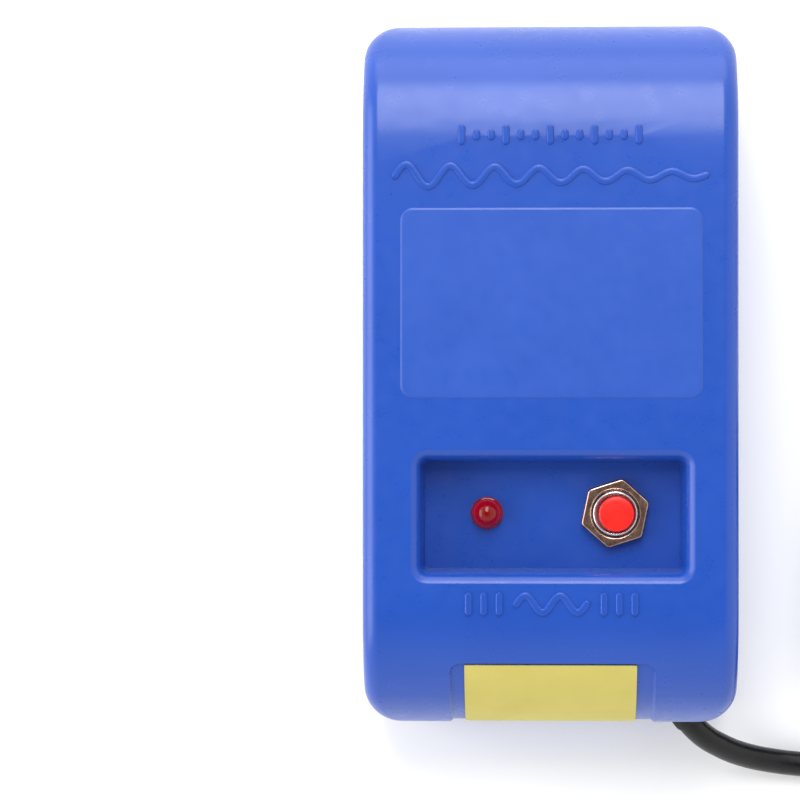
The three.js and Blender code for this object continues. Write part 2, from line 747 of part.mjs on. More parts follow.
// Bends a solid turned about +Z onto the cord's route: its z runs along the route from start.
function bentOntoRoute(geometry, start) {
  const up = new THREE.Vector3(0, 0, 1);
  const total = cordRoute.getLength();
  const points = geometry.getAttribute("position");
  const place = new THREE.Vector3();
  for (let i = 0; i < points.count; i += 1) {
    const share = start + points.getZ(i) / total;
    const along = cordRoute.getTangentAt(share);
    const side = new THREE.Vector3().crossVectors(along, up).normalize();
    const over = new THREE.Vector3().crossVectors(along, side);
    place.copy(cordRoute.getPointAt(share));
    place.addScaledVector(side, points.getX(i)).addScaledVector(over, points.getY(i));
    points.setXYZ(i, place.x, place.y, place.z);
  }
  return geometry;
}

// A rod about +Z with rings all along it, so that it can be bent. radiusAt gives its radius at z.
function rodAlong(radiusAt, z0, z1, steps) {
  const profile = [[0, z0]];
  for (let i = 0; i <= steps; i += 1) {
    const z = z0 + ((z1 - z0) * i) / steps;
    profile.push([radiusAt(z), z]);
  }
  profile.push([0, z1]);
  return turned(profile, 14);
}

// The strain relief: a sleeve that tapers along the bent cord, with a flange each side of the wall.
function cordBushing() {
  const bore = CORD_R + CLEAR;
  const start = shareAtY(BUSHING.y);
  const sleeveR = (z) => 3.5 + 0.06 * Math.max(0, 13 - z) - 0.04 * Math.max(0, z - 13);
  const sleeve = solid(bentOntoRoute(rodAlong(sleeveR, 0, BUSHING.length, 8), start));
  const cordSpace = solid(bentOntoRoute(rodAlong(() => bore, -4, BUSHING.length + 4, 11), start));
  const drilled = (r, y0, y1) =>
    solid(
      rod(r, y0, y1, 20).rotateX(-Math.PI / 2).translate(CORD_EXIT.x, -LENGTH / 2, CORD_EXIT.z),
    );
  const layer = (near, far) =>
    solid(plate(planShape(near), 0, 40, 6)).subtract(solid(plate(planShape(far), -1, 41, 6)));
  const flanges = layer(-CLEAR - 1, -CLEAR).add(layer(WALL + CLEAR, WALL + CLEAR + BUSHING.disc));
  const collar = flanges
    .intersect(drilled(BUSHING.flangeR, -10, 10))
    .add(drilled(BUSHING.neckR, -1, WALL + 1));
  return geometryOf(collar.add(sleeve).subtract(cordSpace));
}

const mainsCord = () => strand(cordRoute, CORD_R, 24, 8);

const tailRoute = through(
  [COIL.x + COIL.mid, -22.6, 8.9],
  [COIL.x + COIL.mid, -16, 8.7],
  [COIL.x + COIL.mid, -11, 8],
  [COIL.x + COIL.mid, PLUG.y0 - CLEAR, PLUG.thick / 2],
);

const cordTail = () => strand(tailRoute, CORD_R, 4, 8);

// The outer shape of the wound turns: four side by side, and two nested on top of them.
function cordCoil() {
  const { mid, lift } = COIL;
  const half = 4 * CORD_R;
  const round = CORD_R / 2;
  const low = 2 * CORD_R;
  const high = low + COIL_LAYER;
  return turned(
    [
      [mid - half, lift + round],
      [mid - half + round, lift],
      [mid + half - round, lift],
      [mid + half, lift + round],
      [mid + half, lift + low - round],
      [mid + half - round, lift + low],
      [mid + CORD_R, lift + low],
      [mid + CORD_R, lift + high - 1],
      [mid + CORD_R - 1, lift + high],
      [mid - 3 * CORD_R + round, lift + high],
      [mid - half, lift + low - round],
      [mid - half, lift + round],
    ],
    32,
  );
}

// A flat band round the bundle at one place, thin enough to pass under it.
function cordTie() {
  const { wide, band } = TIE;
  const { mid, lift } = COIL;
  const reach = 4 * CORD_R + 0.55;
  const top = lift + 2 * CORD_R + COIL_LAYER + CLEAR;
  const bottom = lift - CLEAR;
  const shape = roundedRect(mid - reach - band, mid + reach + band, bottom - band, top + band, 0.75);
  shape.holes.push(roundedOutline(new THREE.Path(), mid - reach, mid + reach, bottom, top, 0.5));
  return new THREE.ExtrudeGeometry(shape, { depth: wide, bevelEnabled: false, curveSegments: 3 })
    .translate(0, 0, -wide / 2)
    .rotateX(Math.PI / 2);
}

// The plug lies on its flat side: a moulded body with a tapered tail round the cord.
function plugBody() {
  const z = PLUG.thick / 2;
  const half = PLUG.width / 2;
  const bodyY = PLUG.y0 + PLUG.taper;
  const body = solid(
    new THREE.ExtrudeGeometry(roundedRect(-half + 1, half - 1, 1, PLUG.body - 1, 4), {
      depth: PLUG.thick - 3,
      bevelSize: 1,
      bevelThickness: 1.5,
      bevelSegments: 2,
      curveSegments: 4,
    }).translate(0, bodyY, 1.5),
  );
  const tailLength = PLUG.taper + 2;
  const tail = turned([[0, 0], [PLUG.tipR, 0], [PLUG.rootR, tailLength], [0, tailLength]], 16)
    .rotateX(-Math.PI / 2)
    .translate(0, PLUG.y0, z);
  const halfT = BLADE.halfT + CLEAR;
  const halfW = BLADE.halfW + 0.35;
  const front = bodyY + PLUG.body;
  const slots = bladePlaces.map((x) =>
    block(x - halfT, x + halfT, front - BLADE.root, front + 1, z - halfW, z + halfW),
  );
  return geometryOf(cut(body.add(solid(tail)), ...slots));
}

const bladePlaces = [-BLADE.x, BLADE.x];

function plugBlade() {
  const { halfT, halfW, holeR, holeFromTip } = BLADE;
  const z = PLUG.thick / 2;
  const front = PLUG.y0 + PLUG.taper + PLUG.body;
  const tip = front + BLADE.length;
  const blade = solid(block(-halfT, halfT, front - BLADE.root + CLEAR, tip, z - halfW, z + halfW));
  const hole = rod(holeR, -2, 2, 14).rotateY(Math.PI / 2).translate(0, tip - holeFromTip, z);
  return geometryOf(cut(blade, hole));
}

// ---------------------------------------------------------------- small fittings and wires

function cordClamp() {
  const { x, y, post, postR, halfY, t } = CLAMP;
  const reach = post + postR;
  const z0 = CORD_EXIT.z + CORD_R + CLEAR;
  const strap = solid(plate(roundedRect(x - reach, x + reach, y - halfY, y + halfY, 1.5), z0, z0 + t, 3));
  const holes = [-1, 1].map((side) => rod(1.6, 0, 30, 12).translate(x + side * post, y, 0));
  return geometryOf(cut(strap, ...holes));
}

const crimpCap = () =>
  turned([[0, 5.1], [1.7, 5.1], [2.1, 5.6], [2.3, 13], [2.7, 13.4], [2.7, 17], [0, 17]], 16);

const WIRE_R = 0.7;
const wires = {
  line_wire: [
    leadBrown,
    [21.2, -37.6, 12],
    [19, -34, 11],
    [13, -30.5, 9],
    [8.8, -27.5, 10],
    [8.4, -26, 14.7],
  ],
  neutral_wire: [
    leadBlue,
    [23.3, -37.6, 12],
    [22.2, -32, 13],
    [18.6, -22, 15],
    [10, -18.4, 17.6],
    [3, -17.6, 20],
    [1, -17.4, 17.3],
  ],
  coil_wire_1: [
    leadBlue,
    [-0.2, -15.7, 17.3],
    [1.5, -14.8, 20.5],
    [12, -14, 20.5],
    [20, -8, 20],
    [23, 2, 21],
    [21.8, 8, 22.4],
    [19.3, 10, 22.8],
  ],
  coil_wire_2: [
    leadRed,
    [15.6, -25.9, 14.7],
    [16.4, -24.6, 11],
    [22, -16, 10],
    [27, -2, 13],
    [26.5, 12, 20],
    [22.5, 19, 22.6],
    [19.3, 20, 22.8],
  ],
  lamp_wire_1: [
    leadRed,
    [-13, -25.9, 15.7],
    [-12.4, -26.8, 12],
    [-4, -31, 11],
    [6, -34.5, 12],
    [14, -35, 13],
    [15.7, -31, 15.6],
    [15.6, -27.5, 16.4],
  ],
  lamp_wire_2: [
    leadBlue,
    [-10.4, -25.9, 23.6],
    [-10, -24.6, 20],
    [-5, -19.5, 20.6],
    [-1.6, -17.8, 20],
    [-1, -17.4, 17.3],
  ],
};

// ---------------------------------------------------------------- assembly

const group = new THREE.Group();

function add(name, geometry, material, x = 0, y = 0, z = 0, parent = group) {
  const mesh = new THREE.Mesh(geometry, material);
  mesh.name = name;
  mesh.position.set(x, y, z);
  parent.add(mesh);
  return mesh;
}

add("top_shell", topShell(), blueShell);
add("work_surface_film", workSurfaceFilm(), clearFilm);
add("front_label", frontLabel(), yellowPaper);
add("base_plate", basePlate(), blackPlastic);

let corner = 0;
for (const sy of [-1, 1]) {
  for (const sx of [-1, 1]) {
    corner += 1;
    add(`rubber_foot_${corner}`, rubberFoot(), rubber, sx * FOOT.x, sy * FOOT.y);
    const baseScrew = add(
      `base_screw_${corner}`,
      screw(...COVER_SCREW),
      zincSteel,
      sx * BASE_SCREW.x,
      sy * BASE_SCREW.y,
      BASE_Z + COUNTERBORE.depth - SKIN_GAP,
    );
    baseScrew.rotation.x = Math.PI;
  }
}

add("core_laminations", coreLaminations(), coreSteel);
add("pole_insulator", poleInsulator(), fishPaper);
add("coil_bobbin", coilBobbin(), creamNylon);
add("copper_winding", copperWinding(), copper);
add("winding_tape", windingTape(), amberTape);
add("core_bracket_left", coreBracket(-1), zincSteel);
add("core_bracket_right", coreBracket(1), zincSteel);
for (const [place, end] of [["front", -1], ["back", 1]]) {
  add(`core_bolt_${place}`, coreBolt(), zincSteel, 0, CORE.y + end * BOLT.dy, BOLT.z);
  add(`core_nut_${place}`, coreNut(), zincSteel, 0, CORE.y + end * BOLT.dy, BOLT.z);
}
bracketScrewPlaces().forEach(([x, y], i) => {
  const z = BRACKET.z + BRACKET.t + SKIN_GAP;
  add(`bracket_screw_${i + 1}`, screw(...BRACKET_SCREW), zincSteel, x, y, z);
});

const pushSwitch = new THREE.Group();
pushSwitch.position.set(BUTTON.x, BUTTON.y, FLOOR_Z);
group.add(pushSwitch);
add("switch_body", switchBody(), blackPlastic, 0, 0, 0, pushSwitch);
add("switch_bushing", switchBushing(), brightNickel, 0, 0, 0, pushSwitch);
add("switch_lock_washer", lockWasher(), zincSteel, 0, 0, 0, pushSwitch);
add("switch_hex_nut", switchNut(), nickel, 0, 0, 0, pushSwitch);
add("button_cap", buttonCap(), redPlastic, 0, 0, 0, pushSwitch);
add("switch_plunger", switchPlunger(), brownPhenolic, 0, 0, 0, pushSwitch);
add("contact_bridge", contactBridge(), brass, 0, 0, 0, pushSwitch);
add("return_spring", returnSpring(), zincSteel, 0, 0, 0, pushSwitch);
add("switch_terminal_1", switchTerminal(), brass, -SWITCH.terminalX, 0, 0, pushSwitch);
add("switch_terminal_2", switchTerminal(), brass, SWITCH.terminalX, 0, 0, pushSwitch);

const pilotLamp = new THREE.Group();
pilotLamp.position.set(LAMP.x, LAMP.y, FLOOR_Z);
group.add(pilotLamp);
add("pilot_lamp_lens", lampLens(), redLens, 0, 0, 0, pilotLamp);
add("lamp_retainer", lampRetainer(), blackPlastic, 0, 0, 0, pilotLamp);
add("lamp_lead_1", lampLead(-15.2), zincSteel, -LAMP.leads, 0, 0, pilotLamp);
add("lamp_lead_2", lampLead(-14), zincSteel, LAMP.leads, 0, 0, pilotLamp);
add("lamp_resistor", lampResistor(), resistorBody, -LAMP.leads, 0, 0, pilotLamp);

for (const [name, [material, ...points]] of Object.entries(wires)) {
  add(name, strand(through(...points), WIRE_R, 16, 6), material);
}
add("crimp_cap", crimpCap(), creamNylon, 0, -17);

add("cord_bushing", cordBushing(), rubber);
add("cord_clamp", cordClamp(), blackPlastic);
for (const side of [-1, 1]) {
  const name = side < 0 ? "cord_clamp_screw_1" : "cord_clamp_screw_2";
  const z = CORD_EXIT.z + CORD_R + CLEAR + CLAMP.t + SKIN_GAP;
  add(name, screw(...CLAMP_SCREW), zincSteel, CLAMP.x + side * CLAMP.post, CLAMP.y, z);
}
add("mains_cord", mainsCord(), cordJacket);
add("cord_coil", cordCoil(), cordJacket, COIL.x, COIL.y);
const tie = add("cord_tie", cordTie(), blackPlastic, COIL.x, COIL.y);
tie.rotation.z = TIE.angle;
add("cord_tail", cordTail(), cordJacket);
add("plug_body", plugBody(), cordJacket, COIL.x + COIL.mid);
bladePlaces.forEach((x, i) => {
  add(`plug_blade_${i + 1}`, plugBlade(), brass, COIL.x + COIL.mid + x);
});

export default group;
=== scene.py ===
"""A bench demagnetizer: its fine surfaces, cord, materials and light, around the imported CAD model.

Shapes are worked out in millimetres and scaled to metres when they become meshes.
"""

import math

import bmesh
import bpy
from mathutils import Matrix, Vector


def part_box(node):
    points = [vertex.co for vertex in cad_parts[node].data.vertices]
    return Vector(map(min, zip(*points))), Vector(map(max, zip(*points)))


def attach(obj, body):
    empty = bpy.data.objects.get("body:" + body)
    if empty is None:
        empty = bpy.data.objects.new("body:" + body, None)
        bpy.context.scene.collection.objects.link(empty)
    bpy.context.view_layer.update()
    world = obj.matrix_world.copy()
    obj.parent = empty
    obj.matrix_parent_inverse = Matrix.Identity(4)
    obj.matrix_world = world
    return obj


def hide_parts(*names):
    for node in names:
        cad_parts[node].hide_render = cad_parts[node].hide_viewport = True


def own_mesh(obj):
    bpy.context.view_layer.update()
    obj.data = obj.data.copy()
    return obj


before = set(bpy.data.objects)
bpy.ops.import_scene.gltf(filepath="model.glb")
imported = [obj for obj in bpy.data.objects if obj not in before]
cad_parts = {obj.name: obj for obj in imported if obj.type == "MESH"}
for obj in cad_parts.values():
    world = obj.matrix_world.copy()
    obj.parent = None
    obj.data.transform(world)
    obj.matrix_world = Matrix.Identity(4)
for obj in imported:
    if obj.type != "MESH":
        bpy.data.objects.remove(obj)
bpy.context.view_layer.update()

MM = 0.001
UP = Vector((0, 0, 1))


def box_mm(node):
    """Lowest and highest corner of a CAD node, in millimetres."""
    low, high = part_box(node)
    return low / MM, high / MM


# ---- sizes

SHELL_LOW, SHELL_HIGH = box_mm("top_shell")
MARK_H = 0.35  # how far the raised marks stand proud
MARK_W = 1.3  # width of their strokes
TOP = SHELL_HIGH.z - MARK_H
HALF_X = SHELL_HIGH.x
HALF_Y = SHELL_HIGH.y
RIM_Z = SHELL_LOW.z
WALL = 2.2
CLEAR = 0.3
END_R = 21.5  # quarter round from the flat top down to each end wall
CORNER_R = 7.5  # upright corners, seen from above
EDGE_R = 3  # rounded edge between the top and the walls

WELL = {"x0": -25.8, "x1": 26.7, "y0": -38.7, "y1": -13.9, "corner": 3.3}
WELL_DEPTH = 9
WELL_RIM = 2.6  # radius of the rounded rim
WELL_SLOPE = 2.6  # how much smaller the floor is than the opening, on each side
FLOOR_Z = TOP - WELL_DEPTH

RECESS = {"x0": -18.2, "x1": 18.9, "y": -53.4, "z": 14, "depth": 0.5, "corner": 2.2}
LABEL_LOW, LABEL_HIGH = box_mm("front_label")
FILM_LOW, FILM_HIGH = box_mm("work_surface_film")
BASE_LOW = box_mm("base_plate")[0]
BASE_T = 2.2
BASE_SCREW = (27.5, 32)  # distance of the cover's screws from the middle, across and along
FOOT = (25, 55)  # and of the feet

CAP_LOW, CAP_HIGH = box_mm("button_cap")
BUTTON = (CAP_LOW + CAP_HIGH) / 2
LENS_LOW, LENS_HIGH = box_mm("pilot_lamp_lens")
LAMP = (LENS_LOW + LENS_HIGH) / 2
NECK_HOLE_R = 4.4
LENS_HOLE_R = 2.75

CORD_R = 2.4
CORD_OUT_X = 25.4  # where the cord goes through the front wall
CORD_OUT_Z = 12
COIL = Vector((90.5, -42, 0))  # the middle of the coil on the table
COIL_OUTER = 35.6  # radius of the outermost turn's centreline
COIL_Z = 3.5  # height of the lower layer's centreline
PLUG_LOW, PLUG_HIGH = box_mm("plug_body")


# ---- shapes as points and faces

def arc(x, y, radius, start, end, steps=8):
    """Points on an arc about (x, y), from one angle in degrees to another."""
    points = []
    for i in range(steps + 1):
        turn = math.radians(start + (end - start) * i / steps)
        points.append((x + radius * math.cos(turn), y + radius * math.sin(turn)))
    return points


def rounded_rect(x0, x1, y0, y1, r, steps=8):
    """An anticlockwise outline with round corners."""
    return (
        arc(x1 - r, y0 + r, r, -90, 0, steps)
        + arc(x1 - r, y1 - r, r, 0, 90, steps)
        + arc(x0 + r, y1 - r, r, 90, 180, steps)
        + arc(x0 + r, y0 + r, r, 180, 270, steps)
    )


def inset_rect(x0, x1, y0, y1, r, inset, steps):
    """A rounded rectangle pulled in all round."""
    return rounded_rect(x0 + inset, x1 - inset, y0 + inset, y1 - inset, r - inset, steps)


def stacked(loops, capped=True):
    """A solid through loops with the same number of points, from the first to the last."""
    count = len(loops[0])
    points = [Vector(p) for loop in loops for p in loop]
    faces = []
    for k in range(len(loops) - 1):
        for i in range(count):
            j = (i + 1) % count
            low, high = k * count, (k + 1) * count
            faces.append((low + i, low + j, high + j, high + i))
    if capped:
        faces.append(tuple(reversed(range(count))))
        faces.append(tuple(range((len(loops) - 1) * count, len(loops) * count)))
    return points, faces


def revolved(profile, segments=72):
    """A solid of revolution about Z. The profile's ends are on the axis, or its last point is its first."""
    ring = [2 * math.pi * i / segments for i in range(segments)]
    loops = [[(r * math.cos(a), r * math.sin(a), z) for a in ring] for r, z in profile]
    return stacked(loops, capped=False)


def rod(radius, z0, z1, segments=72):
    """A plain round bar along Z, used to cut holes."""
    return revolved([(0, z0), (radius, z0), (radius, z1), (0, z1)], segments)


def prism(outline, z0, z1):
    """An outline pulled up from z0 to z1."""
    return stacked([[(x, y, z) for x, y in outline] for z in (z0, z1)])


def placed(solid, matrix):
    """The solid moved by a matrix."""
    points, faces = solid
    return [matrix @ p for p in points], faces


def at(x, y, z=0):
    return Matrix.Translation((x, y, z))


def merged(*solids):
    """Several solids that don't touch, as one."""
    points, faces = [], []
    for some_points, some_faces in solids:
        start = len(points)
        points += some_points
        faces += [tuple(i + start for i in face) for face in some_faces]
    return points, faces


def smooth_path(points, steps=10):
    """A centripetal Catmull-Rom curve through the points."""
    p = [Vector(q) for q in points]
    p = [2 * p[0] - p[1], *p, 2 * p[-1] - p[-2]]
    path = []
    for i in range(1, len(p) - 2):
        knots = [0.0]
        for a, b in ((i - 1, i), (i, i + 1), (i + 1, i + 2)):
            knots.append(knots[-1] + math.sqrt((p[b] - p[a]).length))
        t0, t1, t2, t3 = knots
        for k in range(steps):
            t = t1 + (t2 - t1) * k / steps
            a1 = p[i - 1].lerp(p[i], (t - t0) / (t1 - t0))
            a2 = p[i].lerp(p[i + 1], (t - t1) / (t2 - t1))
            a3 = p[i + 1].lerp(p[i + 2], (t - t2) / (t3 - t2))
            b1 = a1.lerp(a2, (t - t0) / (t2 - t0))
            b2 = a2.lerp(a3, (t - t1) / (t3 - t1))
            path.append(b1.lerp(b2, (t - t1) / (t2 - t1)))
    return [*path, p[-2]]


def sections(path, radii, sides):
    """Rings across a path, one at each of its points, that turn as little as they can."""
    side = Vector((0.3, 0.2, 1))
    loops = []
    for i, point in enumerate(path):
        along = (path[min(i + 1, len(path) - 1)] - path[max(i - 1, 0)]).normalized()
        side = (side - along * side.dot(along)).normalized()
        over = along.cross(side)
        turns = [2 * math.pi * k / sides for k in range(sides)]
        loops.append([point + (side * math.cos(a) + over * math.sin(a)) * radii[i] for a in turns])
    return loops


def tube(path, radius, sides=20):
    """A round rod along a path."""
    return stacked(sections(path, [radius] * len(path), sides))


def ridge(path, width, height, sunk=0.5):
    """A raised stroke along a level path: a flat top, rolled edges and round ends."""
    half = width / 2
    roll = height * 0.9
    edge = arc(half - roll, height - roll, roll, 0, 90, 5)
    right = [(half + 0.1, -sunk), (half + 0.03, 0), *edge]
    section = [*right, *[(-u, v) for u, v in reversed(right)]]
    ends = [math.radians(a) for a in (84, 70, 50, 25)]
    first = (path[0] - path[1]).normalized()
    last = (path[-1] - path[-2]).normalized()
    places = [(path[0] + first * half * math.sin(a), first * -1, math.cos(a)) for a in ends]
    for i, point in enumerate(path):
        along = path[min(i + 1, len(path) - 1)] - path[max(i - 1, 0)]
        places.append((point, along.normalized(), 1))
    places += [(path[-1] + last * half * math.sin(a), last, math.cos(a)) for a in reversed(ends)]
    loops = []
    for point, along, wide in places:
        across = along.cross(UP)
        loops.append([point + across * u * wide + UP * v for u, v in section])
    return stacked(loops)


# ---- solids as meshes

def mesh_of(solid, name="shape"):
    """A clean mesh in metres."""
    points, faces = solid
    mesh = bpy.data.meshes.new(name)
    mesh.from_pydata([p * MM for p in points], [], faces)
    tidy(mesh)
    return mesh


def tidy(mesh):
    """Merges points that coincide and turns every face outwards."""
    bm = bmesh.new()
    bm.from_mesh(mesh)
    bmesh.ops.remove_doubles(bm, verts=bm.verts, dist=2e-7)
    bmesh.ops.dissolve_degenerate(bm, edges=bm.edges, dist=1e-7)
    bmesh.ops.recalc_face_normals(bm, faces=bm.faces)
    bm.to_mesh(mesh)
    bm.free()


def shown(name, data):
    """A new object in the scene."""
    obj = bpy.data.objects.new(name, data)
    bpy.context.scene.collection.objects.link(obj)
    return obj


def evaluated_mesh(obj):
    """The object's mesh with its modifiers applied. The object is removed."""
    bpy.context.view_layer.update()
    graph = bpy.context.evaluated_depsgraph_get()
    mesh = bpy.data.meshes.new_from_object(obj.evaluated_get(graph))
    bpy.data.objects.remove(obj)
    return mesh


def carved(solid, steps):
    """The mesh of a solid after steps of ("UNION" or "DIFFERENCE", another solid)."""
    body = shown("carving", mesh_of(solid))
    helpers = []
    for operation, other in steps:
        helper = shown("helper", mesh_of(other))
        modifier = body.modifiers.new(operation, "BOOLEAN")
        modifier.operation = operation
        modifier.solver = "MANIFOLD"
        modifier.object = helper
        helpers.append(helper)
    mesh = evaluated_mesh(body)
    for helper in helpers:
        bpy.data.objects.remove(helper)
    tidy(mesh)
    return mesh


def flat_plate(outlines, z0, z1, edge, steps=2):
    """A flat plate with rounded edges from an outline and any holes, all closed."""
    curve = bpy.data.curves.new("plate", "CURVE")
    curve.dimensions = "2D"
    curve.fill_mode = "BOTH"
    curve.extrude = ((z1 - z0) / 2 - edge) * MM
    curve.bevel_depth = edge * MM
    curve.bevel_resolution = steps
    curve.offset = -edge * MM
    for outline in outlines:
        spline = curve.splines.new("POLY")
        spline.points.add(len(outline) - 1)
        for point, (x, y) in zip(spline.points, outline):
            point.co = (x * MM, y * MM, 0, 1)
        spline.use_cyclic_u = True
    mesh = evaluated_mesh(shown("plate", curve))
    mesh.transform(Matrix.Translation((0, 0, (z0 + z1) / 2 * MM)))
    tidy(mesh)
    return mesh


def piece(name, mesh, material, nodes, body="housing", sharp=34):
    """A finished piece that rides on a body and stands for some CAD nodes."""
    obj = shown(name, mesh)
    mesh.shade_smooth()
    mesh.set_sharp_from_angle(angle=math.radians(sharp))
    mesh.materials.clear()
    mesh.materials.append(material)
    weighted = obj.modifiers.new("weighted", "WEIGHTED_NORMAL")
    weighted.keep_sharp = True
    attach(obj, body)
    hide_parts(*nodes)
    return obj


# ---- materials

def srgb(r, g, b):
    """A colour given as 0 to 255 on screen."""
    return tuple((v / 255) ** 2.2 for v in (r, g, b)) + (1,)


def add_node(tree, kind, inputs=(), **settings):
    """A new node with its settings, and a value or a link for each of the inputs."""
    made = tree.nodes.new(kind)
    for key, value in settings.items():
        setattr(made, key, value)
    for key, value in dict(inputs).items():
        if isinstance(value, bpy.types.NodeSocket):
            tree.links.new(value, made.inputs[key])
        else:
            made.inputs[key].default_value = value
    return made


class Finish:
    """A procedural material: a few textures in the object's own space feed one shader."""

    def __init__(self, name, **constants):
        self.material = bpy.data.materials.new(name)
        self.material.use_nodes = True
        self.tree = self.material.node_tree
        self.shader = self.tree.nodes["Principled BSDF"]
        self.space = self.node("ShaderNodeTexCoord").outputs["Object"]
        for socket, value in constants.items():
            self.shader.inputs[socket.replace("_", " ")].default_value = value

    def node(self, kind, inputs=(), **settings):
        return add_node(self.tree, kind, inputs, **settings)

    def stretched(self, x, y, z):
        """The object's space scaled by millimetre frequencies."""
        scale = (x / MM, y / MM, z / MM)
        return self.node("ShaderNodeMapping", {"Vector": self.space, "Scale": scale}).outputs["Vector"]

    def noise(self, x, y=None, z=None, detail=3.0, rough=0.55):
        """A noise that repeats about x, y and z times in each millimetre."""
        vector = self.stretched(x, x if y is None else y, x if z is None else z)
        inputs = {"Vector": vector, "Scale": 1.0, "Detail": detail, "Roughness": rough}
        return self.node("ShaderNodeTexNoise", inputs).outputs["Fac"]

    def bands(self, per_mm, axis):
        """Even bands across one axis, as of wire or sheets."""
        vector = self.stretched(per_mm, per_mm, per_mm)
        inputs = {"Vector": vector, "Scale": 2 * math.pi / 20}
        made = self.node("ShaderNodeTexWave", inputs, bands_direction=axis, wave_profile="SIN")
        return made.outputs["Fac"]

    def colour(self, value, low, high, start=0.3, end=0.7):
        """Base colour from low to high as value goes from start to end."""
        ramp = self.node("ShaderNodeValToRGB", {"Fac": value})
        first, last = ramp.color_ramp.elements
        first.position, last.position = start, end
        first.color, last.color = low, high
        self.tree.links.new(ramp.outputs["Color"], self.shader.inputs["Base Color"])

    def roughness(self, value, low, high):
        """Roughness from low to high as value goes from 0.3 to 0.7."""
        inputs = {"Value": value, "From Min": 0.3, "From Max": 0.7, "To Min": low, "To Max": high}
        ranged = self.node("ShaderNodeMapRange", inputs).outputs["Result"]
        self.tree.links.new(ranged, self.shader.inputs["Roughness"])

    def bump(self, value, height_mm, under=None):
        """Relief that stands up to height_mm where value is 1."""
        inputs = {"Height": value, "Distance": height_mm * MM, "Strength": 1.0}
        if under is not None:
            inputs["Normal"] = under
        made = self.node("ShaderNodeBump", inputs).outputs["Normal"]
        self.tree.links.new(made, self.shader.inputs["Normal"])
        return made


def moulded(name, low, high, rough=0.33, grain=0.0008, **constants):
    """Moulded plastic: faint flow mottling, a fine grain, and handling marks in the gloss."""
    finish = Finish(name, **constants)
    finish.colour(finish.noise(0.06, detail=4), low, high)
    finish.roughness(finish.noise(0.3, detail=2), rough - 0.025, rough + 0.04)
    waves = finish.bump(finish.noise(0.16, detail=1), 0.008)
    finish.bump(finish.noise(1.1, detail=1), grain, under=waves)
    return finish.material


def metal(name, low, high, rough, stretch=(0.3, 6, 6), depth=0.003):
    """Plated or bare metal: drawn streaks, small stains and uneven polish."""
    finish = Finish(name, Metallic=1.0)
    finish.colour(finish.noise(0.8, detail=5, rough=0.7), low, high)
    finish.roughness(finish.noise(2.2, detail=4), rough * 0.75, rough * 1.4)
    finish.bump(finish.noise(*stretch, detail=3), depth)
    return finish.material


def label_paper():
    """Coated yellow paper with a faint fibre."""
    finish = Finish("label_paper", Specular_IOR_Level=0.25)
    finish.colour(finish.noise(0.15, detail=5), srgb(184, 172, 91), srgb(190, 178, 97))
    finish.roughness(finish.noise(2.0, detail=4), 0.55, 0.7)
    finish.bump(finish.noise(1.2, 5, 5, detail=4), 0.004)
    return finish.material


def film_plastic():
    """The thin worn film on the work surface: lighter than the housing, with fine rubs."""
    finish = Finish("film_plastic")
    finish.colour(finish.noise(0.09, detail=5), (0.0118, 0.066, 0.37, 1), (0.0145, 0.072, 0.392, 1))
    finish.roughness(finish.noise(0.35, detail=5, rough=0.7), 0.3, 0.4)
    finish.bump(finish.noise(3.0, 0.7, 3.0, detail=4), 0.003)
    return finish.material


def lens_plastic():
    """Tinted clear plastic. Its colour is painted light: darker where the dome faces the camera (painted
    shade) and brighter red towards its rim (painted glow of light through the dome).
    """
    finish = Finish("lens_plastic", Transmission_Weight=0.15, IOR=1.49, Specular_IOR_Level=0.38)
    painted_rim_light = finish.node("ShaderNodeLayerWeight", {"Blend": 0.45}).outputs["Facing"]
    # painted light: dark red in the middle of the dome to bright red at its rim, by viewing angle
    finish.colour(painted_rim_light, srgb(128, 2, 8), srgb(196, 12, 20), start=0.1, end=0.7)
    finish.roughness(finish.noise(0.8, detail=2), 0.04, 0.08)
    return finish.material


def cord_rubber():
    """The cord's soft black sheath: slightly waxy, faintly drawn along its length."""
    finish = Finish("cord_rubber", Specular_IOR_Level=0.36)
    finish.colour(finish.noise(0.25, detail=5), srgb(14, 13, 16), srgb(21, 20, 24))
    finish.roughness(finish.noise(0.6, detail=4), 0.24, 0.32)
    waves = finish.bump(finish.noise(0.35, detail=2), 0.03)
    finish.bump(finish.noise(4.0, detail=2), 0.004, under=waves)
    return finish.material


def foot_rubber():
    finish = Finish("foot_rubber", Specular_IOR_Level=0.3)
    finish.colour(finish.noise(0.5, detail=5), srgb(34, 34, 35), srgb(56, 55, 54))
    finish.roughness(finish.noise(1.0, detail=4), 0.7, 0.9)
    finish.bump(finish.noise(4.5, detail=4), 0.02)
    return finish.material


def wound_copper():
    """Enamelled wire, one turn above another."""
    finish = Finish("wound_copper", Metallic=0.85, Coat_Weight=0.5)
    finish.colour(finish.noise(0.3, 0.3, 8, detail=4), srgb(150, 72, 34), srgb(198, 112, 60))
    finish.roughness(finish.noise(1.5, detail=3), 0.25, 0.4)
    finish.bump(finish.bands(3.2, "Z"), 0.12)
    return finish.material


def laminated_steel():
    """The core's stacked sheets, with oxide between them."""
    finish = Finish("laminated_steel", Metallic=0.9)
    sheets = finish.bands(1.4, "X")
    finish.colour(sheets, srgb(58, 58, 60), srgb(132, 134, 138), start=0.1, end=0.6)
    finish.roughness(finish.noise(1.0, detail=5), 0.35, 0.6)
    finish.bump(sheets, 0.08)
    return finish.material


def wound_tape():
    finish = Finish("wound_tape", Coat_Weight=0.3)
    finish.colour(finish.noise(0.3, detail=5), srgb(206, 160, 38), srgb(224, 184, 70))
    finish.roughness(finish.noise(0.8, detail=3), 0.25, 0.45)
    finish.bump(finish.noise(0.3, 0.3, 1.5, detail=3), 0.06)
    return finish.material


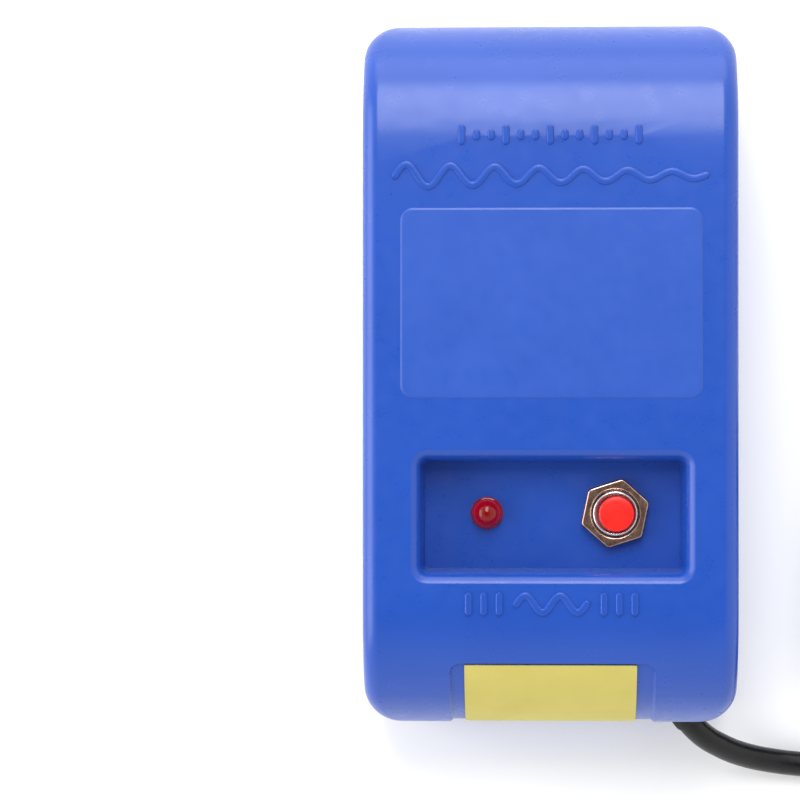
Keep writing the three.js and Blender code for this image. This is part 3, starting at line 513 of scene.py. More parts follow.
def fibre_sheet():
    finish = Finish("fibre_sheet", Specular_IOR_Level=0.2)
    finish.colour(finish.noise(2.5, 0.5, 2, detail=6), srgb(92, 122, 88), srgb(122, 150, 112))
    finish.roughness(finish.noise(1.5, detail=4), 0.75, 0.9)
    finish.bump(finish.noise(4, 1, 4, detail=5), 0.03)
    return finish.material


def banded_resistor():
    """A beige body with plain colour bands."""
    finish = Finish("banded_resistor")
    finish.colour(finish.bands(0.8, "Z"), srgb(202, 178, 132), srgb(140, 60, 30), start=0.82, end=0.9)
    finish.roughness(finish.noise(1.5, detail=3), 0.35, 0.5)
    return finish.material


def wire_sheath(name, low, high):
    finish = Finish(name)
    finish.colour(finish.noise(0.5, detail=4), low, high)
    finish.roughness(finish.noise(1.0, detail=3), 0.38, 0.55)
    finish.bump(finish.noise(3.0, detail=2), 0.01)
    return finish.material


def floor_paper():
    finish = Finish("floor_paper", Specular_IOR_Level=0.1)
    finish.colour(finish.noise(0.01, detail=3), srgb(250, 250, 251), srgb(253, 253, 253))
    finish.roughness(finish.noise(0.05, detail=3), 0.85, 0.95)
    return finish.material


BLUE = moulded("blue_plastic", (0.0068, 0.057, 0.35, 1), (0.0085, 0.062, 0.375, 1), rough=0.29)
BLACK = moulded("black_plastic", srgb(26, 26, 28), srgb(34, 34, 36), rough=0.42, grain=0.012)
RED = moulded("red_plastic", srgb(214, 30, 22), srgb(222, 36, 28), rough=0.3)
CREAM = moulded("cream_nylon", srgb(222, 214, 194), srgb(236, 230, 212), rough=0.45)
PHENOLIC = moulded("phenolic", srgb(88, 50, 28), srgb(120, 72, 42), rough=0.45)
NICKEL = metal("bronze_nickel", srgb(160, 118, 98), srgb(226, 190, 172), 0.17, stretch=(1.5, 5, 3))
BRIGHT = metal("bright_nickel", srgb(214, 212, 208), srgb(236, 234, 230), 0.17, stretch=(3, 3, 6))
ZINC = metal("zinc_steel", srgb(160, 164, 168), srgb(200, 202, 204), 0.34)
BRASS = metal("brass", srgb(196, 156, 70), srgb(222, 186, 104), 0.26, stretch=(6, 0.4, 6))
LABEL = label_paper()
FILM = film_plastic()
LENS = lens_plastic()
SHEATH = cord_rubber()
FOOT_RUBBER = foot_rubber()


# ---- camera, light and floor

def make_camera():
    """A long lens above the table that looks almost straight down."""
    camera = shown("camera", bpy.data.cameras.new("camera"))
    camera.data.lens = 160.6
    camera.data.sensor_width = 36
    camera.location = Vector((-1.96, -8.06, 700.2)) * MM
    camera.rotation_euler = (0.0047, 0.0391, 0)
    bpy.context.scene.camera = camera


def softbox(name, place, target, width, height, radiance):
    """A rectangular light of even brightness, in metres."""
    data = bpy.data.lights.new(name, "AREA")
    data.shape = "RECTANGLE"
    data.size = width
    data.size_y = height
    data.energy = radiance * math.pi * width * height
    light = shown(name, data)
    light.location = place
    direction = Vector(target) - Vector(place)
    light.rotation_euler = direction.to_track_quat("-Z", "Y").to_euler()


def make_studio():
    """A tall softbox above the back, lower ones at the back and left, and a tent with a dark ceiling."""
    softbox("key", (0.00, 0.67, 1.00), (0, 0, 0), 0.46, 0.86, 6.7)
    softbox("back", (0.05, 1.15, 0.36), (0, 0, 0), 1.20, 0.50, 1.9)
    softbox("left", (-1.00, 0.00, 0.50), (0, 0, 0), 1.00, 0.80, 2.9)
    make_tent()
    bpy.context.scene.view_settings.view_transform = "Standard"
    bpy.context.scene.view_settings.look = "None"


def make_tent():
    """The world: a white tent whose glow depends on how high a direction points."""
    strength = 2.0
    horizon = (0, 0.72)
    between = ((0.35, 0.64), (0.86, 0.4), (0.96, 0.12))
    overhead = (1, 0.08)
    world = bpy.data.worlds.new("studio")
    world.use_nodes = True
    tree = world.node_tree
    direction = add_node(tree, "ShaderNodeTexCoord").outputs["Generated"]
    height = add_node(tree, "ShaderNodeSeparateXYZ", {"Vector": direction}).outputs["Z"]
    tent = add_node(tree, "ShaderNodeFloatCurve", {"Value": height})
    curve = tent.mapping.curves[0]
    for point, place in zip(curve.points, (horizon, overhead)):
        point.location = place
    for up, glow in between:
        curve.points.new(up, glow)
    tent.mapping.update()
    scaled = add_node(tree, "ShaderNodeMath", {0: tent.outputs["Value"], 1: strength}, operation="MULTIPLY")
    background = tree.nodes["Background"]
    background.inputs["Color"].default_value = (1, 1, 1, 1)
    tree.links.new(scaled.outputs["Value"], background.inputs["Strength"])
    bpy.context.scene.world = world


def make_floor():
    """A large sheet on the table, its far edges curled down out of sight."""
    steps = 24
    reach = 3000
    flat = 1500  # it is flat this far out
    curl = 0.00002
    rows = [(reach * (2 * i / steps - 1)) for i in range(steps + 1)]
    points = [Vector((x, y, -curl * max(0, math.hypot(x, y) - flat) ** 2)) for y in rows for x in rows]
    count = steps + 1
    faces = [
        (r * count + c, r * count + c + 1, (r + 1) * count + c + 1, (r + 1) * count + c)
        for r in range(steps)
        for c in range(steps)
    ]
    floor = shown("floor", mesh_of((points, faces), "floor"))
    floor.data.shade_smooth()
    floor.data.materials.append(floor_paper())


# ---- cord

# In metres, from the cord's end inside the housing, out through the front wall and along the table.
LEAD_OUT = [
    (0.0223, -0.0380, 0.0120), (0.0223, -0.0435, 0.0120), (0.0223, -0.0490, 0.0120),
    (0.0223, -0.0542, 0.0120), (0.0232, -0.0599, 0.0120), (0.0254, -0.0648, 0.0118),
    (0.0275, -0.0675, 0.0111), (0.0300, -0.0698, 0.0098), (0.0326, -0.0714, 0.0083),
    (0.0357, -0.0729, 0.0065), (0.0393, -0.0741, 0.0047), (0.0442, -0.0751, 0.0031),
    (0.0491, -0.0757, 0.0025), (0.0560, -0.0764, 0.0024), (0.0620, -0.0769, 0.0024),
    (0.0670, -0.0773, 0.0025), (0.0745, -0.0775, 0.0028), (0.0825, -0.0776, 0.0032),
]
# In metres, from the coil over its outer turns to the plug.
LEAD_IN = [
    (0.1189, -0.0370, 0.0082), (0.1189, -0.0310, 0.0087), (0.1189, -0.0226, 0.0089),
    (0.1189, -0.0160, 0.0087), (0.1189, -0.0110, 0.0080), (0.1189, -0.0063, 0.0075),
    (0.1189, -0.0010, 0.0075),
]


def ease(t):
    """From 0 to 1 with a level start and end."""
    t = min(1, max(0, t))
    return t * t * (3 - 2 * t)


def over(radius, angle):
    """Where a turn lies that touches the lower turn at radius, at an angle in degrees round it."""
    turn = math.radians(angle)
    return radius + 2 * CORD_R * math.cos(turn), COIL_Z + 2 * CORD_R * math.sin(turn)


def coil_place(degrees):
    """Radius and height of the coil's centreline after so many degrees of winding.

    Four turns lie side by side from the outside in. The cord then climbs onto the third of them,
    and goes once round in the groove there before it crosses to the next groove outwards.
    """
    turn = int(degrees // 360)
    phase = degrees % 360
    pitch = 2 * CORD_R
    step = ease((phase - 320) / 40)
    climb = ease((phase - 260) / 60)
    third = COIL_OUTER - 2 * pitch
    if turn < 3:
        return COIL_OUTER - pitch * (turn + step), COIL_Z
    hump = 0.65
    radius, height = over(third, max(60, 180 - 60 * (turn - 3 + climb)))
    return radius, height + hump * math.sin(math.pi * step)


def cord_path():
    """The whole centreline in metres, from inside the housing to inside the plug."""
    coil = []
    turns = 5.25
    degrees_per_point = 15
    for i in range(int(turns * 360 / degrees_per_point) + 1):
        wound = i * degrees_per_point
        radius, height = coil_place(wound)
        angle = math.radians(wound - 90)
        place = COIL + Vector((radius * math.cos(angle), radius * math.sin(angle), height))
        coil.append(place * MM)
    return smooth_path([*LEAD_OUT, *coil, *LEAD_IN], steps=6)


CORD_PATH = cord_path()


def make_cord(plug):
    """The cord's sheath, with its tie and its strain relief."""
    path = [p / MM for p in CORD_PATH]
    mesh = mesh_of(tube(path, CORD_R, sides=28))
    cord = piece("mains_cord_sheath", mesh, SHEATH, ["mains_cord", "cord_coil", "cord_tail"])
    tie = make_tie()
    make_bushing()


def make_tie():
    """A flat band round the bundle, with a small locking head on top."""
    angle = math.radians(200)
    middle = COIL_OUTER - 3 * CORD_R  # of the bundle
    reach = 4 * CORD_R + 0.75
    low = 0.45
    high = 10.7
    half_width = 3.3
    half_thick = 0.32
    head_x = 2.6
    head_y = 3.6
    head_rise = 0.36
    outline = rounded_rect(middle - reach, middle + reach, low, high, 1.6, steps=6)
    section = [(-half_width, -half_thick), (half_width, -half_thick)]
    section += [(half_width, half_thick), (-half_width, half_thick)]
    loops = []
    for r, z in outline:
        away = Vector((r - middle, 0, z - (low + high) / 2)).normalized()
        loops.append([Vector((r, 0, z)) + Vector((0, u, 0)) + away * v for u, v in section])
    band = stacked([*loops, loops[0]], capped=False)
    head_outline = rounded_rect(middle - head_x, middle + head_x, -head_y, head_y, 1.0)
    head = prism(head_outline, high - 0.1, high + head_rise)
    turned = Matrix.Translation(COIL) @ Matrix.Rotation(angle, 4, "Z")
    mesh = mesh_of(placed(merged(band, head), turned))
    return piece("cord_tie_band", mesh, BLACK, ["cord_tie"])


def through_front():
    """The cord's hole in the front wall as a frame: Z runs inwards from the wall's outside."""
    return Matrix.Translation((CORD_OUT_X, -HALF_Y, CORD_OUT_Z)) @ Matrix.Rotation(-math.pi / 2, 4, "X")


def make_bushing():
    """The strain relief: a tapered sleeve on the bent cord, with a flange each side of the wall."""
    inner_y = -47.8
    outer_y = -66.9
    thick_r = 3.9
    path = [p / MM for p in CORD_PATH]
    start = next(i for i, p in enumerate(path) if p.y < inner_y)
    end = next(i for i, p in enumerate(path) if p.y < outer_y)
    along = path[start:end]
    count = len(along) - 1
    outer = [thick_r - 1.0 * ease(1.6 * i / count) - 0.25 * i / count for i in range(count + 1)]
    outer[-1] -= 0.15  # the sleeve's softened edge
    sleeve = stacked(sections(along, outer, 40))
    bore = tube([along[0] * 2 - along[1], *along, along[-1] * 2 - along[-2]], CORD_R + 0.08, 40)
    flange = [(0, -0.55), (5.6, -0.55), (6.0, -0.35), (6.1, -0.05), (5.2, -0.05), (4.9, 0.3)]
    flange += [(4.9, WALL), (6.2, WALL + CLEAR), (6.2, WALL + 1.4), (0, WALL + 1.4)]
    collar = placed(revolved(flange), through_front())
    mesh = carved(sleeve, [("UNION", collar), ("DIFFERENCE", bore)])
    return piece("cord_strain_relief", mesh, FOOT_RUBBER, ["cord_bushing"])


# ---- plug

def squircle(half_x, half_z, power, count=72):
    """A rounded rectangle as a superellipse, in X and Z."""
    points = []
    for i in range(count):
        turn = 2 * math.pi * i / count
        c, s = math.cos(turn), math.sin(turn)
        x = half_x * math.copysign(abs(c) ** (2 / power), c)
        z = half_z * math.copysign(abs(s) ** (2 / power), s)
        points.append((x, z))
    return points


def make_plug():
    """A two-blade plug lying on its flat side: a waisted body and a ribbed, tapered tail."""
    middle = (PLUG_LOW + PLUG_HIGH) / 2
    half_x = (PLUG_HIGH.x - PLUG_LOW.x) / 2
    half_z = (PLUG_HIGH.z - PLUG_LOW.z) / 2
    tail = PLUG_LOW.y
    front = PLUG_HIGH.y
    body = tail + 18
    tail_r = 3.5
    ribs = 5
    rib_pitch = 2.6
    rib_growth = 0.32
    # each station is a place along the plug, half its width and height there, and its squareness
    stations = [(tail, tail_r - 0.3, tail_r - 0.3, 2), (tail + 0.4, tail_r, tail_r, 2)]
    for i in range(ribs):
        y = tail + 1.6 + rib_pitch * i
        r = tail_r + rib_growth * i
        stations += [(y, r, r, 2), (y + 0.3, r - 0.55, r - 0.55, 2)]
        stations += [(y + 1.0, r - 0.5, r - 0.5, 2), (y + 1.3, r + 0.05, r + 0.05, 2)]
    stations += [(body - 2.2, 5.6, 5.4, 2.1), (body - 0.6, 8.2, 6.2, 2.5), (body + 1.2, 10.2, 6.9, 3)]
    stations += [(body + 4, 10.9, half_z - 0.2, 3.6), (body + 8, 10.5, half_z, 4.2)]
    stations += [(body + 13, 10.4, half_z, 4.6), (body + 18, 11.2, half_z, 5)]
    stations += [(body + 21, half_x, half_z, 5)]
    stations += [(front - 0.8, half_x, half_z, 5), (front - 0.25, half_x - 0.25, half_z - 0.25, 5)]
    stations += [(front, half_x - 0.8, half_z - 0.8, 5)]
    loops = []
    for y, a, b, power in stations:
        loops.append([(middle.x + x, y, middle.z + z) for x, z in squircle(a, b, power)])
    cord_space = [Vector((middle.x, y, middle.z)) for y in (tail - 1, tail + 12)]
    steps = [("DIFFERENCE", tube(cord_space, CORD_R + 0.05, 40))]
    groove_x = 7.5
    groove_y = 0.45
    groove = rounded_rect(-groove_x, groove_x, -groove_y, groove_y, 0.44)
    for side in (-1, 1):
        for row in range(4):
            y = body + 6.5 + 2.6 * row
            face = middle.z + side * (half_z + 0.4)
            steps.append(("DIFFERENCE", placed(prism(groove, -1, 1), at(middle.x, y, face))))
    plug = piece("plug_moulding", carved(stacked(loops), steps), SHEATH, ["plug_body"])
    return [plug, make_blade(1), make_blade(2)]


def make_blade(number):
    """A flat blade with a rounded, thinned tip and a hole."""
    node = f"plug_blade_{number}"
    hole_r = 1.6
    to_hole = 3.4  # from the tip
    low, high = box_mm(node)
    mid_x = (low.x + high.x) / 2
    mid_z = (low.z + high.z) / 2
    half_t = (high.x - low.x) / 2
    hole = list(reversed(arc(high.y - to_hole, mid_z, hole_r, 0, 345, 23)))
    outline = rounded_rect(low.y, high.y, low.z, high.z, 0.9, steps=5)
    mesh = flat_plate([outline, hole], -half_t, half_t, 0.22)
    upright = Matrix(((0, 0, 1, 0), (1, 0, 0, 0), (0, 1, 0, 0), (0, 0, 0, 1)))
    mesh.transform(Matrix.Translation((mid_x * MM, 0, 0)) @ upright)
    return piece(f"plug_pin_{number}", mesh, BRASS, [node])


# ---- housing

def housing_stations():
    """Places down the right-hand edge of the housing's top: core point, wall direction, top direction."""
    corner_steps = 18
    side_steps = 26
    corner = CORNER_R - EDGE_R
    middle_x = HALF_X - CORNER_R
    middle_y = HALF_Y - CORNER_R
    core_top = TOP - EDGE_R
    core_end = END_R - EDGE_R
    turns = [math.radians(90 * i / corner_steps) for i in range(corner_steps + 1)]
    spots = [(-middle_y, turn - math.pi / 2) for turn in turns]
    spots += [(-middle_y * math.cos(math.pi * i / side_steps), 0) for i in range(1, side_steps)]
    spots += [(middle_y, turn) for turn in turns]
    stations = []
    for centre_y, turn in spots:
        out = Vector((math.cos(turn), math.sin(turn), 0))
        x, y, _ = Vector((middle_x, centre_y, 0)) + out * corner
        past = abs(y) - (HALF_Y - END_R)
        lean = math.asin(min(1, max(0, past) / core_end))
        z = core_top - core_end * (1 - math.cos(lean))
        top = Vector((0, math.copysign(math.sin(lean), y), math.cos(lean)))
        stations.append((Vector((x, y, z)), out, top))
    return stations


def housing_solid(inset, z0):
    """The housing's outer form, pulled in by inset: walls, a rolled edge, and a top that curves down
    at both ends. The rolled edge turns from the wall's direction to the top's about the core's edge."""
    fillet_steps = 8
    wall_top = 20
    edge = EDGE_R - inset
    loops = []
    right = housing_stations()
    for z in [z0 + (wall_top - z0) * i / 3 for i in range(4)]:
        loops.append([(core + out * edge).xy.to_3d() + UP * z for core, out, _ in right])
    for k in range(fillet_steps + 1):
        loop = []
        for core, out, top in right:
            angle = out.angle(top, 0)
            share = k / fillet_steps
            normal = out
            if angle > 1e-4:
                start, end = math.sin((1 - share) * angle), math.sin(share * angle)
                normal = (out * start + top * end) / math.sin(angle)
            loop.append(core + normal * edge)
        loops.append(loop)
    both = [[*loop, *[Vector((-p[0], p[1], p[2])) for p in reversed(loop)]] for loop in loops]
    points, faces = stacked(both, capped=False)
    count = len(both[0])
    faces.append(tuple(reversed(range(count))))
    last = (len(both) - 1) * count
    for i in range(len(right) - 1):
        faces.append((last + i, last + i + 1, last + count - 2 - i, last + count - 1 - i))
    return points, faces


def well_tub():
    """The control well: steep walls under a rounded rim."""
    levels = [(WELL_SLOPE, FLOOR_Z)]
    arc_steps = 10
    steepest = math.radians(80)
    crease = math.radians(14)  # where the rim meets the flat top
    for i in range(arc_steps + 1):
        angle = steepest + (crease - steepest) * i / arc_steps
        sideways = WELL_RIM * (math.sin(angle) - math.sin(crease))
        levels.append((sideways, TOP - WELL_RIM * (math.cos(crease) - math.cos(angle))))
    levels.append((0, TOP + 1.5))
    loops = []
    x0, x1, y0, y1, corner = WELL.values()
    for inset, z in levels:
        loops.append([(x, y, z) for x, y in inset_rect(x0, x1, y0, y1, corner, inset, 10)])
    return stacked(loops)


def front_skin(inset, down):
    """The (y, z) point that lies inset under the front's skin, down mm along it from the flat top."""
    arc_length = END_R * math.pi / 2
    centre_y, centre_z = -HALF_Y + END_R, TOP - END_R
    if down < arc_length:
        turn = down / END_R
        return centre_y - (END_R - inset) * math.sin(turn), centre_z + (END_R - inset) * math.cos(turn)
    return centre_y - (END_R - inset), centre_z - (down - arc_length)


def on_front(x0, x1, y_top, z_low, corner, deep, proud, flare=0.0):
    """A patch on the curved front end between two depths under the skin, its upper corners rounded."""
    start = END_R * math.asin((-HALF_Y + END_R - y_top) / END_R)
    end = END_R * math.pi / 2 + (TOP - END_R) - z_low
    downs = [start + corner * (1 - math.cos(math.radians(9 * i))) for i in range(11)]
    rest = 40
    downs += [start + corner + (end - start - corner) * i / rest for i in range(1, rest + 1)]
    loops = []
    for down in downs:
        left = corner - (down - start)
        pulled = corner - math.sqrt(max(0, corner**2 - left**2)) if left > 0 else 0
        y_in, z_in = front_skin(deep, down)
        y_out, z_out = front_skin(proud, down)
        a, b = x0 + pulled, x1 - pulled
        inner = [(a, y_in, z_in), (b, y_in, z_in)]
        loops.append([*inner, (b + flare, y_out, z_out), (a - flare, y_out, z_out)])
    return stacked(loops)


def raised_marks():
    """Plain raised marks: a scale of bars, a wave that dies away, and a small even wave between bars."""
    scale_y = 43.6
    wave_y = 36.1
    small_y = -42.3
    scale_pitch = 2.7

    def wave(x0, x1, y, swing, turns, fade):
        count = int(turns * 30)
        path = []
        for i in range(count + 1):
            t = i / count
            size = swing * (1 + (fade - 1) * t)
            path.append(Vector((x0 + (x1 - x0) * t, y + size * math.sin(2 * math.pi * turns * t), TOP)))
        return ridge(path, MARK_W, MARK_H)

    def bar(x, y, tall):
        reach = (tall - MARK_W) / 2
        return ridge([Vector((x, y + reach * t, TOP)) for t in (-1, 0, 1)], MARK_W, MARK_H)

    scale = [bar(scale_pitch * i, scale_y, 3.6 if i % 3 == 0 else 1.9) for i in range(-6, 7)]
    small = [bar(x, small_y, 4.2) for x in (-15, -12.2, -9.4, 9.8, 12.6, 15.4)]
    waves = [wave(-28.4, 28.4, wave_y, 2.15, 7, 0.25), wave(-6.2, 6.6, small_y, 1.5, 2, 1)]
    return merged(*scale, *small, *waves)


def four(x, y):
    """Four places round the middle, the front two first."""
    return [(sx * x, sy * y) for sy in (-1, 1) for sx in (-1, 1)]


def make_housing():
    """The housing's shell, hollow, with its posts, well, marks, recess and holes."""
    steps = [("DIFFERENCE", housing_solid(WALL, RIM_Z - 1))]
    steps += [("UNION", post) for post in screw_posts()]
    steps += [("UNION", well_block()), ("DIFFERENCE", well_tub()), ("UNION", raised_marks())]
    steps += [("DIFFERENCE", label_recess())]
    steps += [("DIFFERENCE", cutter) for cutter in housing_holes()]
    mesh = carved(housing_solid(0, RIM_Z), steps)
    piece("housing_shell", mesh, BLUE, ["top_shell"], sharp=28)


def screw_posts():
    """The posts that the cover's screws go into, each with a rib to the side wall."""
    low_r = 3.9
    high_r = 4.1
    rib_low = 8
    rib_half = 1
    z0 = BASE_LOW.z + BASE_T + CLEAR
    solids = []
    for x, y in four(*BASE_SCREW):
        wall_x = math.copysign(HALF_X - 1, x)
        rib = rounded_rect(min(x, wall_x), max(x, wall_x), y - rib_half, y + rib_half, 0.3)
        post = revolved([(0, z0), (low_r, z0), (high_r, TOP - 1), (0, TOP - 1)], 48)
        solids += [placed(post, at(x, y)), prism(rib, rib_low, TOP - 2)]
    return solids


def label_recess():
    """What the label's shallow recess takes out of the front end."""
    above = 1.5
    flare = 2.0
    x0, x1, y, z, depth, corner = RECESS.values()
    return on_front(x0, x1, y, z, corner, depth, -above, flare)


def housing_holes():
    """What the screws, the switch, the lamp and the cord take out of the housing."""
    pilot_r = 1.6
    pilot_top = 20
    cord_hole_r = 5.3
    under = FLOOR_Z - WALL - 2
    cutters = [placed(rod(pilot_r, 0, pilot_top, 32), at(x, y)) for x, y in four(*BASE_SCREW)]
    cutters.append(placed(rod(NECK_HOLE_R, under, TOP), at(BUTTON.x, BUTTON.y)))
    cutters.append(placed(rod(LENS_HOLE_R, under, TOP), at(LAMP.x, LAMP.y)))
    cutters.append(placed(rod(cord_hole_r, -2, WALL + 1), through_front()))
    return cutters


def well_block():
    """The well's walls and floor from inside, as a block that stays under the skin."""
    inset = 0.4
    x0, x1, y0, y1, corner = WELL.values()
    outline = rounded_rect(x0 + inset, x1 - inset, y0 + inset, y1 - inset, corner, steps=10)
    return prism(outline, FLOOR_Z - WALL, TOP - 1)


def make_film():
    """The clear film's pale edge is a small slope all round."""
    corner = 2.3
    levels = [(0, FILM_LOW.z - 0.03), (0.02, FILM_LOW.z + 0.02), (0.38, FILM_HIGH.z), (0.6, FILM_HIGH.z)]
    loops = []
    for inset, z in levels:
        outline = inset_rect(FILM_LOW.x, FILM_HIGH.x, FILM_LOW.y, FILM_HIGH.y, corner, inset, 12)
        loops.append([(x, y, z) for x, y in outline])
    piece("work_film", mesh_of(stacked(loops)), FILM, ["work_surface_film"], sharp=15)


def make_label():
    """The label follows the curve of the front end, from its upper edge down."""
    upper_y = -53.8
    under = 0.4  # the label's back and face, as depths under the skin
    face = 0.1
    solid = on_front(LABEL_LOW.x, LABEL_HIGH.x, upper_y, LABEL_LOW.z, 0.25, under, face)
    piece("blank_label", mesh_of(solid), LABEL, ["front_label"])


# ---- underside

def screw_post(x, y, z0, low_r, high_r, z1, hole_z):
    """Carving steps for a post on the cover, with a blind screw hole in its top."""
    hole_r = 0.95
    post = revolved([(0, z0), (low_r, z0), (high_r, z1), (0, z1)], 48)
    hole = rod(hole_r, hole_z, z1 + 2, 24)
    return [("UNION", placed(post, at(x, y))), ("DIFFERENCE", placed(hole, at(x, y)))]


def make_base():
    """The bottom cover, with posts for the core's brackets and the cord's clamp."""
    bracket_x = (-19, 19)
    bracket_y = (-6, 32)
    bracket_top = 6.98
    clamp_x = (16.3, 28.3)
    clamp_y = -44
    clamp_top = 14.4
    saddle = rounded_rect(19.6, 25, -47, -41, 0.5)  # under the cord
    saddle_top = 9.3
    head_r = 3.3
    head_z = 3.82
    shank_r = 1.7
    inset = WALL + CLEAR
    corner = CORNER_R - inset
    top = BASE_LOW.z + BASE_T
    foot = top - 0.2
    loops = []
    for pull, z in ((0.5, BASE_LOW.z), (0.15, BASE_LOW.z + 0.15), (0, BASE_LOW.z + 0.5), (0, top)):
        x, y = HALF_X - inset - pull, HALF_Y - inset - pull
        loops.append([(a, b, z) for a, b in rounded_rect(-x, x, -y, y, corner - pull, steps=12)])
    steps = []
    for x in bracket_x:
        for y in bracket_y:
            steps += screw_post(x, y, foot, 3.4, 3.3, bracket_top, 3.3)
    for x in clamp_x:
        steps += screw_post(x, clamp_y, foot, 2.75, 2.6, clamp_top, 5)
    steps.append(("UNION", prism(saddle, foot, saddle_top)))
    profile = [(0, 0), (head_r, 0), (head_r, head_z), (shank_r, head_z), (shank_r, 9), (0, 9)]
    for x, y in four(*BASE_SCREW):
        steps.append(("DIFFERENCE", placed(revolved(profile, 48), at(x, y))))
    piece("base_cover", carved(stacked(loops), steps), BLACK, ["base_plate"])


def make_feet():
    """Four rubber discs under the cover, with rounded lower edges."""
    radius = 6
    height = 2.6
    profile = [(0, 0), (4.2, 0), *arc(4.8, 0.7, 0.7, 270, 360, 4), (5.8, 1.9), (radius, height - 0.15)]
    profile += [(radius, height), (0, height)]
    for number, (x, y) in enumerate(four(*FOOT), start=1):
        mesh = mesh_of(placed(revolved(profile), at(x, y)))
        piece(f"foot_{number}", mesh, FOOT_RUBBER, [f"rubber_foot_{number}"])


def make_base_screws():
    """Pan heads with a cross recess, facing down."""
    head_r = 2.85
    head_edge = 0.95  # radius of the rounded edge
    head_z = 1.1
    thread_r = 1.22
    root_r = 0.95
    pitch = 0.9
    profile = [(0, 0), *arc(head_r - head_edge, head_edge, head_edge, 270, 360, 6)]
    profile += [(head_r, head_z), (thread_r, head_z)]
    for i in range(13):
        profile += [(thread_r, 1.6 + pitch * i), (root_r, 2.0 + pitch * i)]
    profile += [(0.4, 14), (0, 14.1)]
    cross_turn = 0.4
    slot = prism(rounded_rect(-1.7, 1.7, -0.38, 0.38, 0.2, steps=3), -1, 0.75)
    turns = (cross_turn, cross_turn + math.pi / 2)
    arms = [("DIFFERENCE", placed(slot, Matrix.Rotation(turn, 4, "Z"))) for turn in turns]
    for number, (x, y) in enumerate(four(*BASE_SCREW), start=1):
        mesh = carved(revolved(profile, 48), arms)
        mesh.transform(Matrix.Translation(Vector((x, y, BASE_LOW.z + 0.1)) * MM))
        piece(f"cover_screw_{number}", mesh, ZINC, [f"base_screw_{number}"])


# ---- controls

def make_lens():
    """A flanged dome lens with a clear step under the dome."""
    radius = 2.5
    barrel_r = 2.4
    flange_r = 2.98
    flange_z = 0.05
    tail_z = -3.4
    dome_z = 2.0
    profile = [(0, tail_z), (barrel_r - 0.1, tail_z), (barrel_r, tail_z + 0.2), (barrel_r, flange_z)]
    profile += [(flange_r, flange_z), (flange_r, 0.6), (flange_r - 0.15, 0.8)]
    profile += [(radius + 0.12, 0.85), (radius, 1.0)]
    profile += arc(0, dome_z, radius, 0, 84, 16) + [(0, dome_z + radius)]
    mesh = mesh_of(placed(revolved(profile, 96), at(LAMP.x, LAMP.y, FLOOR_Z)))
    piece("lamp_lens", mesh, LENS, ["pilot_lamp_lens"])


def hexagon(across_flats, corner_r, turn, steps=5):
    """A hexagon with slightly rounded corners."""
    to_corner = (across_flats / 2 - corner_r) / math.cos(math.pi / 6)
    points = []
    for i in range(6):
        angle = turn + 60 * i
        a = math.radians(angle)
        centre = (to_corner * math.cos(a), to_corner * math.sin(a))
        points += arc(*centre, corner_r, angle - 30, angle + 30, steps)
    return points


def make_nut():
    """A thin stamped hexagon nut with a rolled edge."""
    across_flats = 11.6
    hole_r = 4.35
    turn = 18
    rolled = 0.42
    hole = list(reversed(arc(0, 0, hole_r, 0, 355, 71)))
    mesh = flat_plate([hexagon(across_flats, 1.1, turn), hole], 0.1, 2.4, rolled, steps=4)
    mesh.transform(Matrix.Translation(Vector((BUTTON.x, BUTTON.y, FLOOR_Z)) * MM))
    piece("switch_nut", mesh, NICKEL, ["switch_hex_nut"])


def make_neck():
    """The switch's threaded neck: a flange inside, a thread, and a rounded bright rim round the cap."""
    flange_r = 5.8
    thread_r = 4.15
    bore_r = 3.54
    web_r = 1.9
    flange_z = -4.4
    flange_top = -2.75
    rim = 3.4
    web_top = -1.8
    profile = [(web_r, flange_z), (flange_r, flange_z), (flange_r, flange_top)]
    profile += [(thread_r - 0.3, flange_top)]
    pitch = 0.5
    z = flange_top + 0.1
    while z < rim - 0.9:
        profile += [(thread_r - 0.26, z), (thread_r, z + 0.2), (thread_r, z + 0.28)]
        z += pitch
    roll = (thread_r - bore_r) / 2
    profile += [*arc(bore_r + roll, rim - roll, roll, 0, 180, 12), (bore_r, web_top), (web_r, web_top)]
    profile += [(web_r, flange_z)]
    mesh = mesh_of(placed(revolved(profile, 96), at(BUTTON.x, BUTTON.y, FLOOR_Z)))
    piece("switch_neck", mesh, BRIGHT, ["switch_bushing"])


def make_cap():
    """The push button's cap, its top very slightly crowned. It leans on one side of its bore."""
    radius = 3.3
    edge_r = 0.42
    edge_z = CAP_HIGH.z - 0.5
    slack = (0.17, -0.07)
    low = CAP_LOW.z
    high = CAP_HIGH.z
    profile = [(0, low), (radius - 0.1, low), (radius, low + 0.1), (radius, edge_z)]
    profile += arc(radius - edge_r, edge_z, edge_r, 15, 80, 6)
    profile += [(2.4, high - 0.045), (1.4, high - 0.015), (0, high)]
    mesh = mesh_of(placed(revolved(profile, 96), at(BUTTON.x + slack[0], BUTTON.y + slack[1])))
    piece("push_cap", mesh, RED, ["button_cap"], body="button")


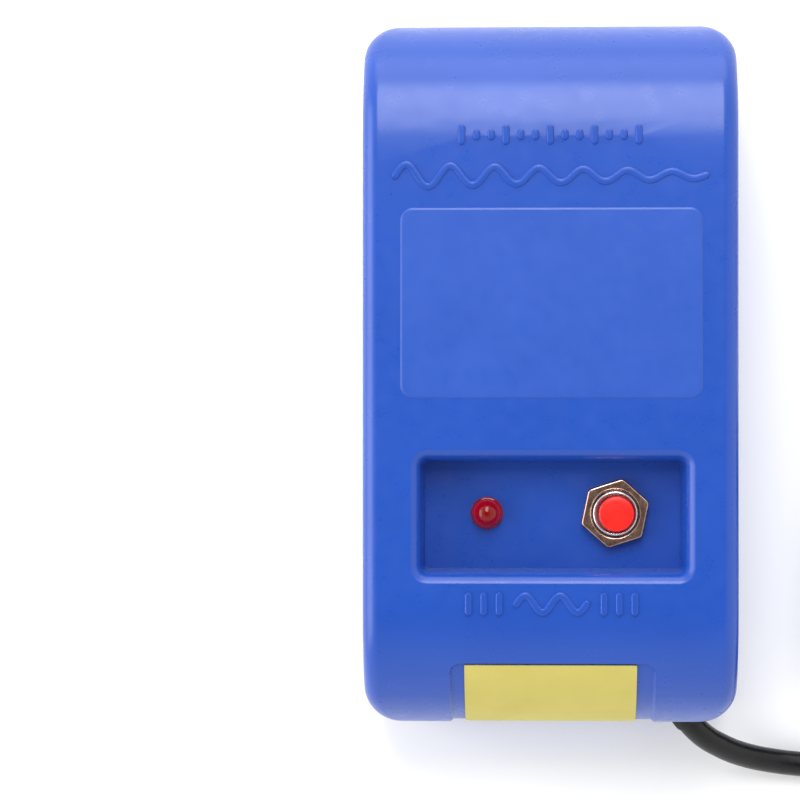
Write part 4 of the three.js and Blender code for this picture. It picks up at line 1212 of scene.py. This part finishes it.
def make_spring():
    """The switch's return spring."""
    low, high = box_mm("return_spring")
    wire_r = 0.25
    turns = 4.5
    coil_r = (high.x - low.x) / 2 - wire_r
    rise = high.z - low.z - 2 * wire_r
    steps = 162
    path = []
    for i in range(steps + 1):
        turn = 2 * math.pi * turns * i / steps
        x = BUTTON.x + coil_r * math.cos(turn)
        y = BUTTON.y + coil_r * math.sin(turn)
        path.append(Vector((x, y, low.z + wire_r + rise * i / steps)))
    mesh = mesh_of(tube(path, wire_r, sides=12))
    spring = piece("button_spring", mesh, ZINC, ["return_spring"])
    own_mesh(spring)


# ---- CAD pieces that keep their shape

def numbered(name, count):
    """The names name_1, name_2 and so on."""
    return [f"{name}_{i + 1}" for i in range(count)]


def finish_cad_nodes():
    """Materials for the CAD nodes that show as they are."""
    blue = wire_sheath("blue_sheath", srgb(34, 80, 170), srgb(46, 96, 190))
    red = wire_sheath("red_sheath", srgb(170, 30, 26), srgb(190, 42, 36))
    brown = wire_sheath("brown_sheath", srgb(84, 48, 26), srgb(104, 62, 36))
    brackets = ["core_bracket_left", "core_bracket_right", *numbered("bracket_screw", 4)]
    bolts = ["core_bolt_front", "core_bolt_back", "core_nut_front", "core_nut_back"]
    small_steel = ["switch_lock_washer", *numbered("lamp_lead", 2), *numbered("cord_clamp_screw", 2)]
    looks = (
        (laminated_steel(), ["core_laminations"]),
        (fibre_sheet(), ["pole_insulator"]),
        (wound_copper(), ["copper_winding"]),
        (wound_tape(), ["winding_tape"]),
        (banded_resistor(), ["lamp_resistor"]),
        (PHENOLIC, ["switch_plunger"]),
        (CREAM, ["coil_bobbin", "crimp_cap"]),
        (BLACK, ["switch_body", "lamp_retainer", "cord_clamp"]),
        (BRASS, ["contact_bridge", *numbered("switch_terminal", 2)]),
        (ZINC, [*brackets, *bolts, *small_steel]),
        (brown, ["line_wire"]),
        (blue, ["neutral_wire", "coil_wire_1", "lamp_wire_2"]),
        (red, ["coil_wire_2", "lamp_wire_1"]),
    )
    for material, names in looks:
        for name in names:
            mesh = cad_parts[name].data
            mesh.materials.clear()
            mesh.materials.append(material)


make_camera()
make_cord(make_plug())
make_studio()
make_floor()
make_housing()
make_film()
make_label()
make_base()
make_feet()
make_base_screws()
make_lens()
make_nut()
make_neck()
make_cap()
make_spring()
finish_cad_nodes()
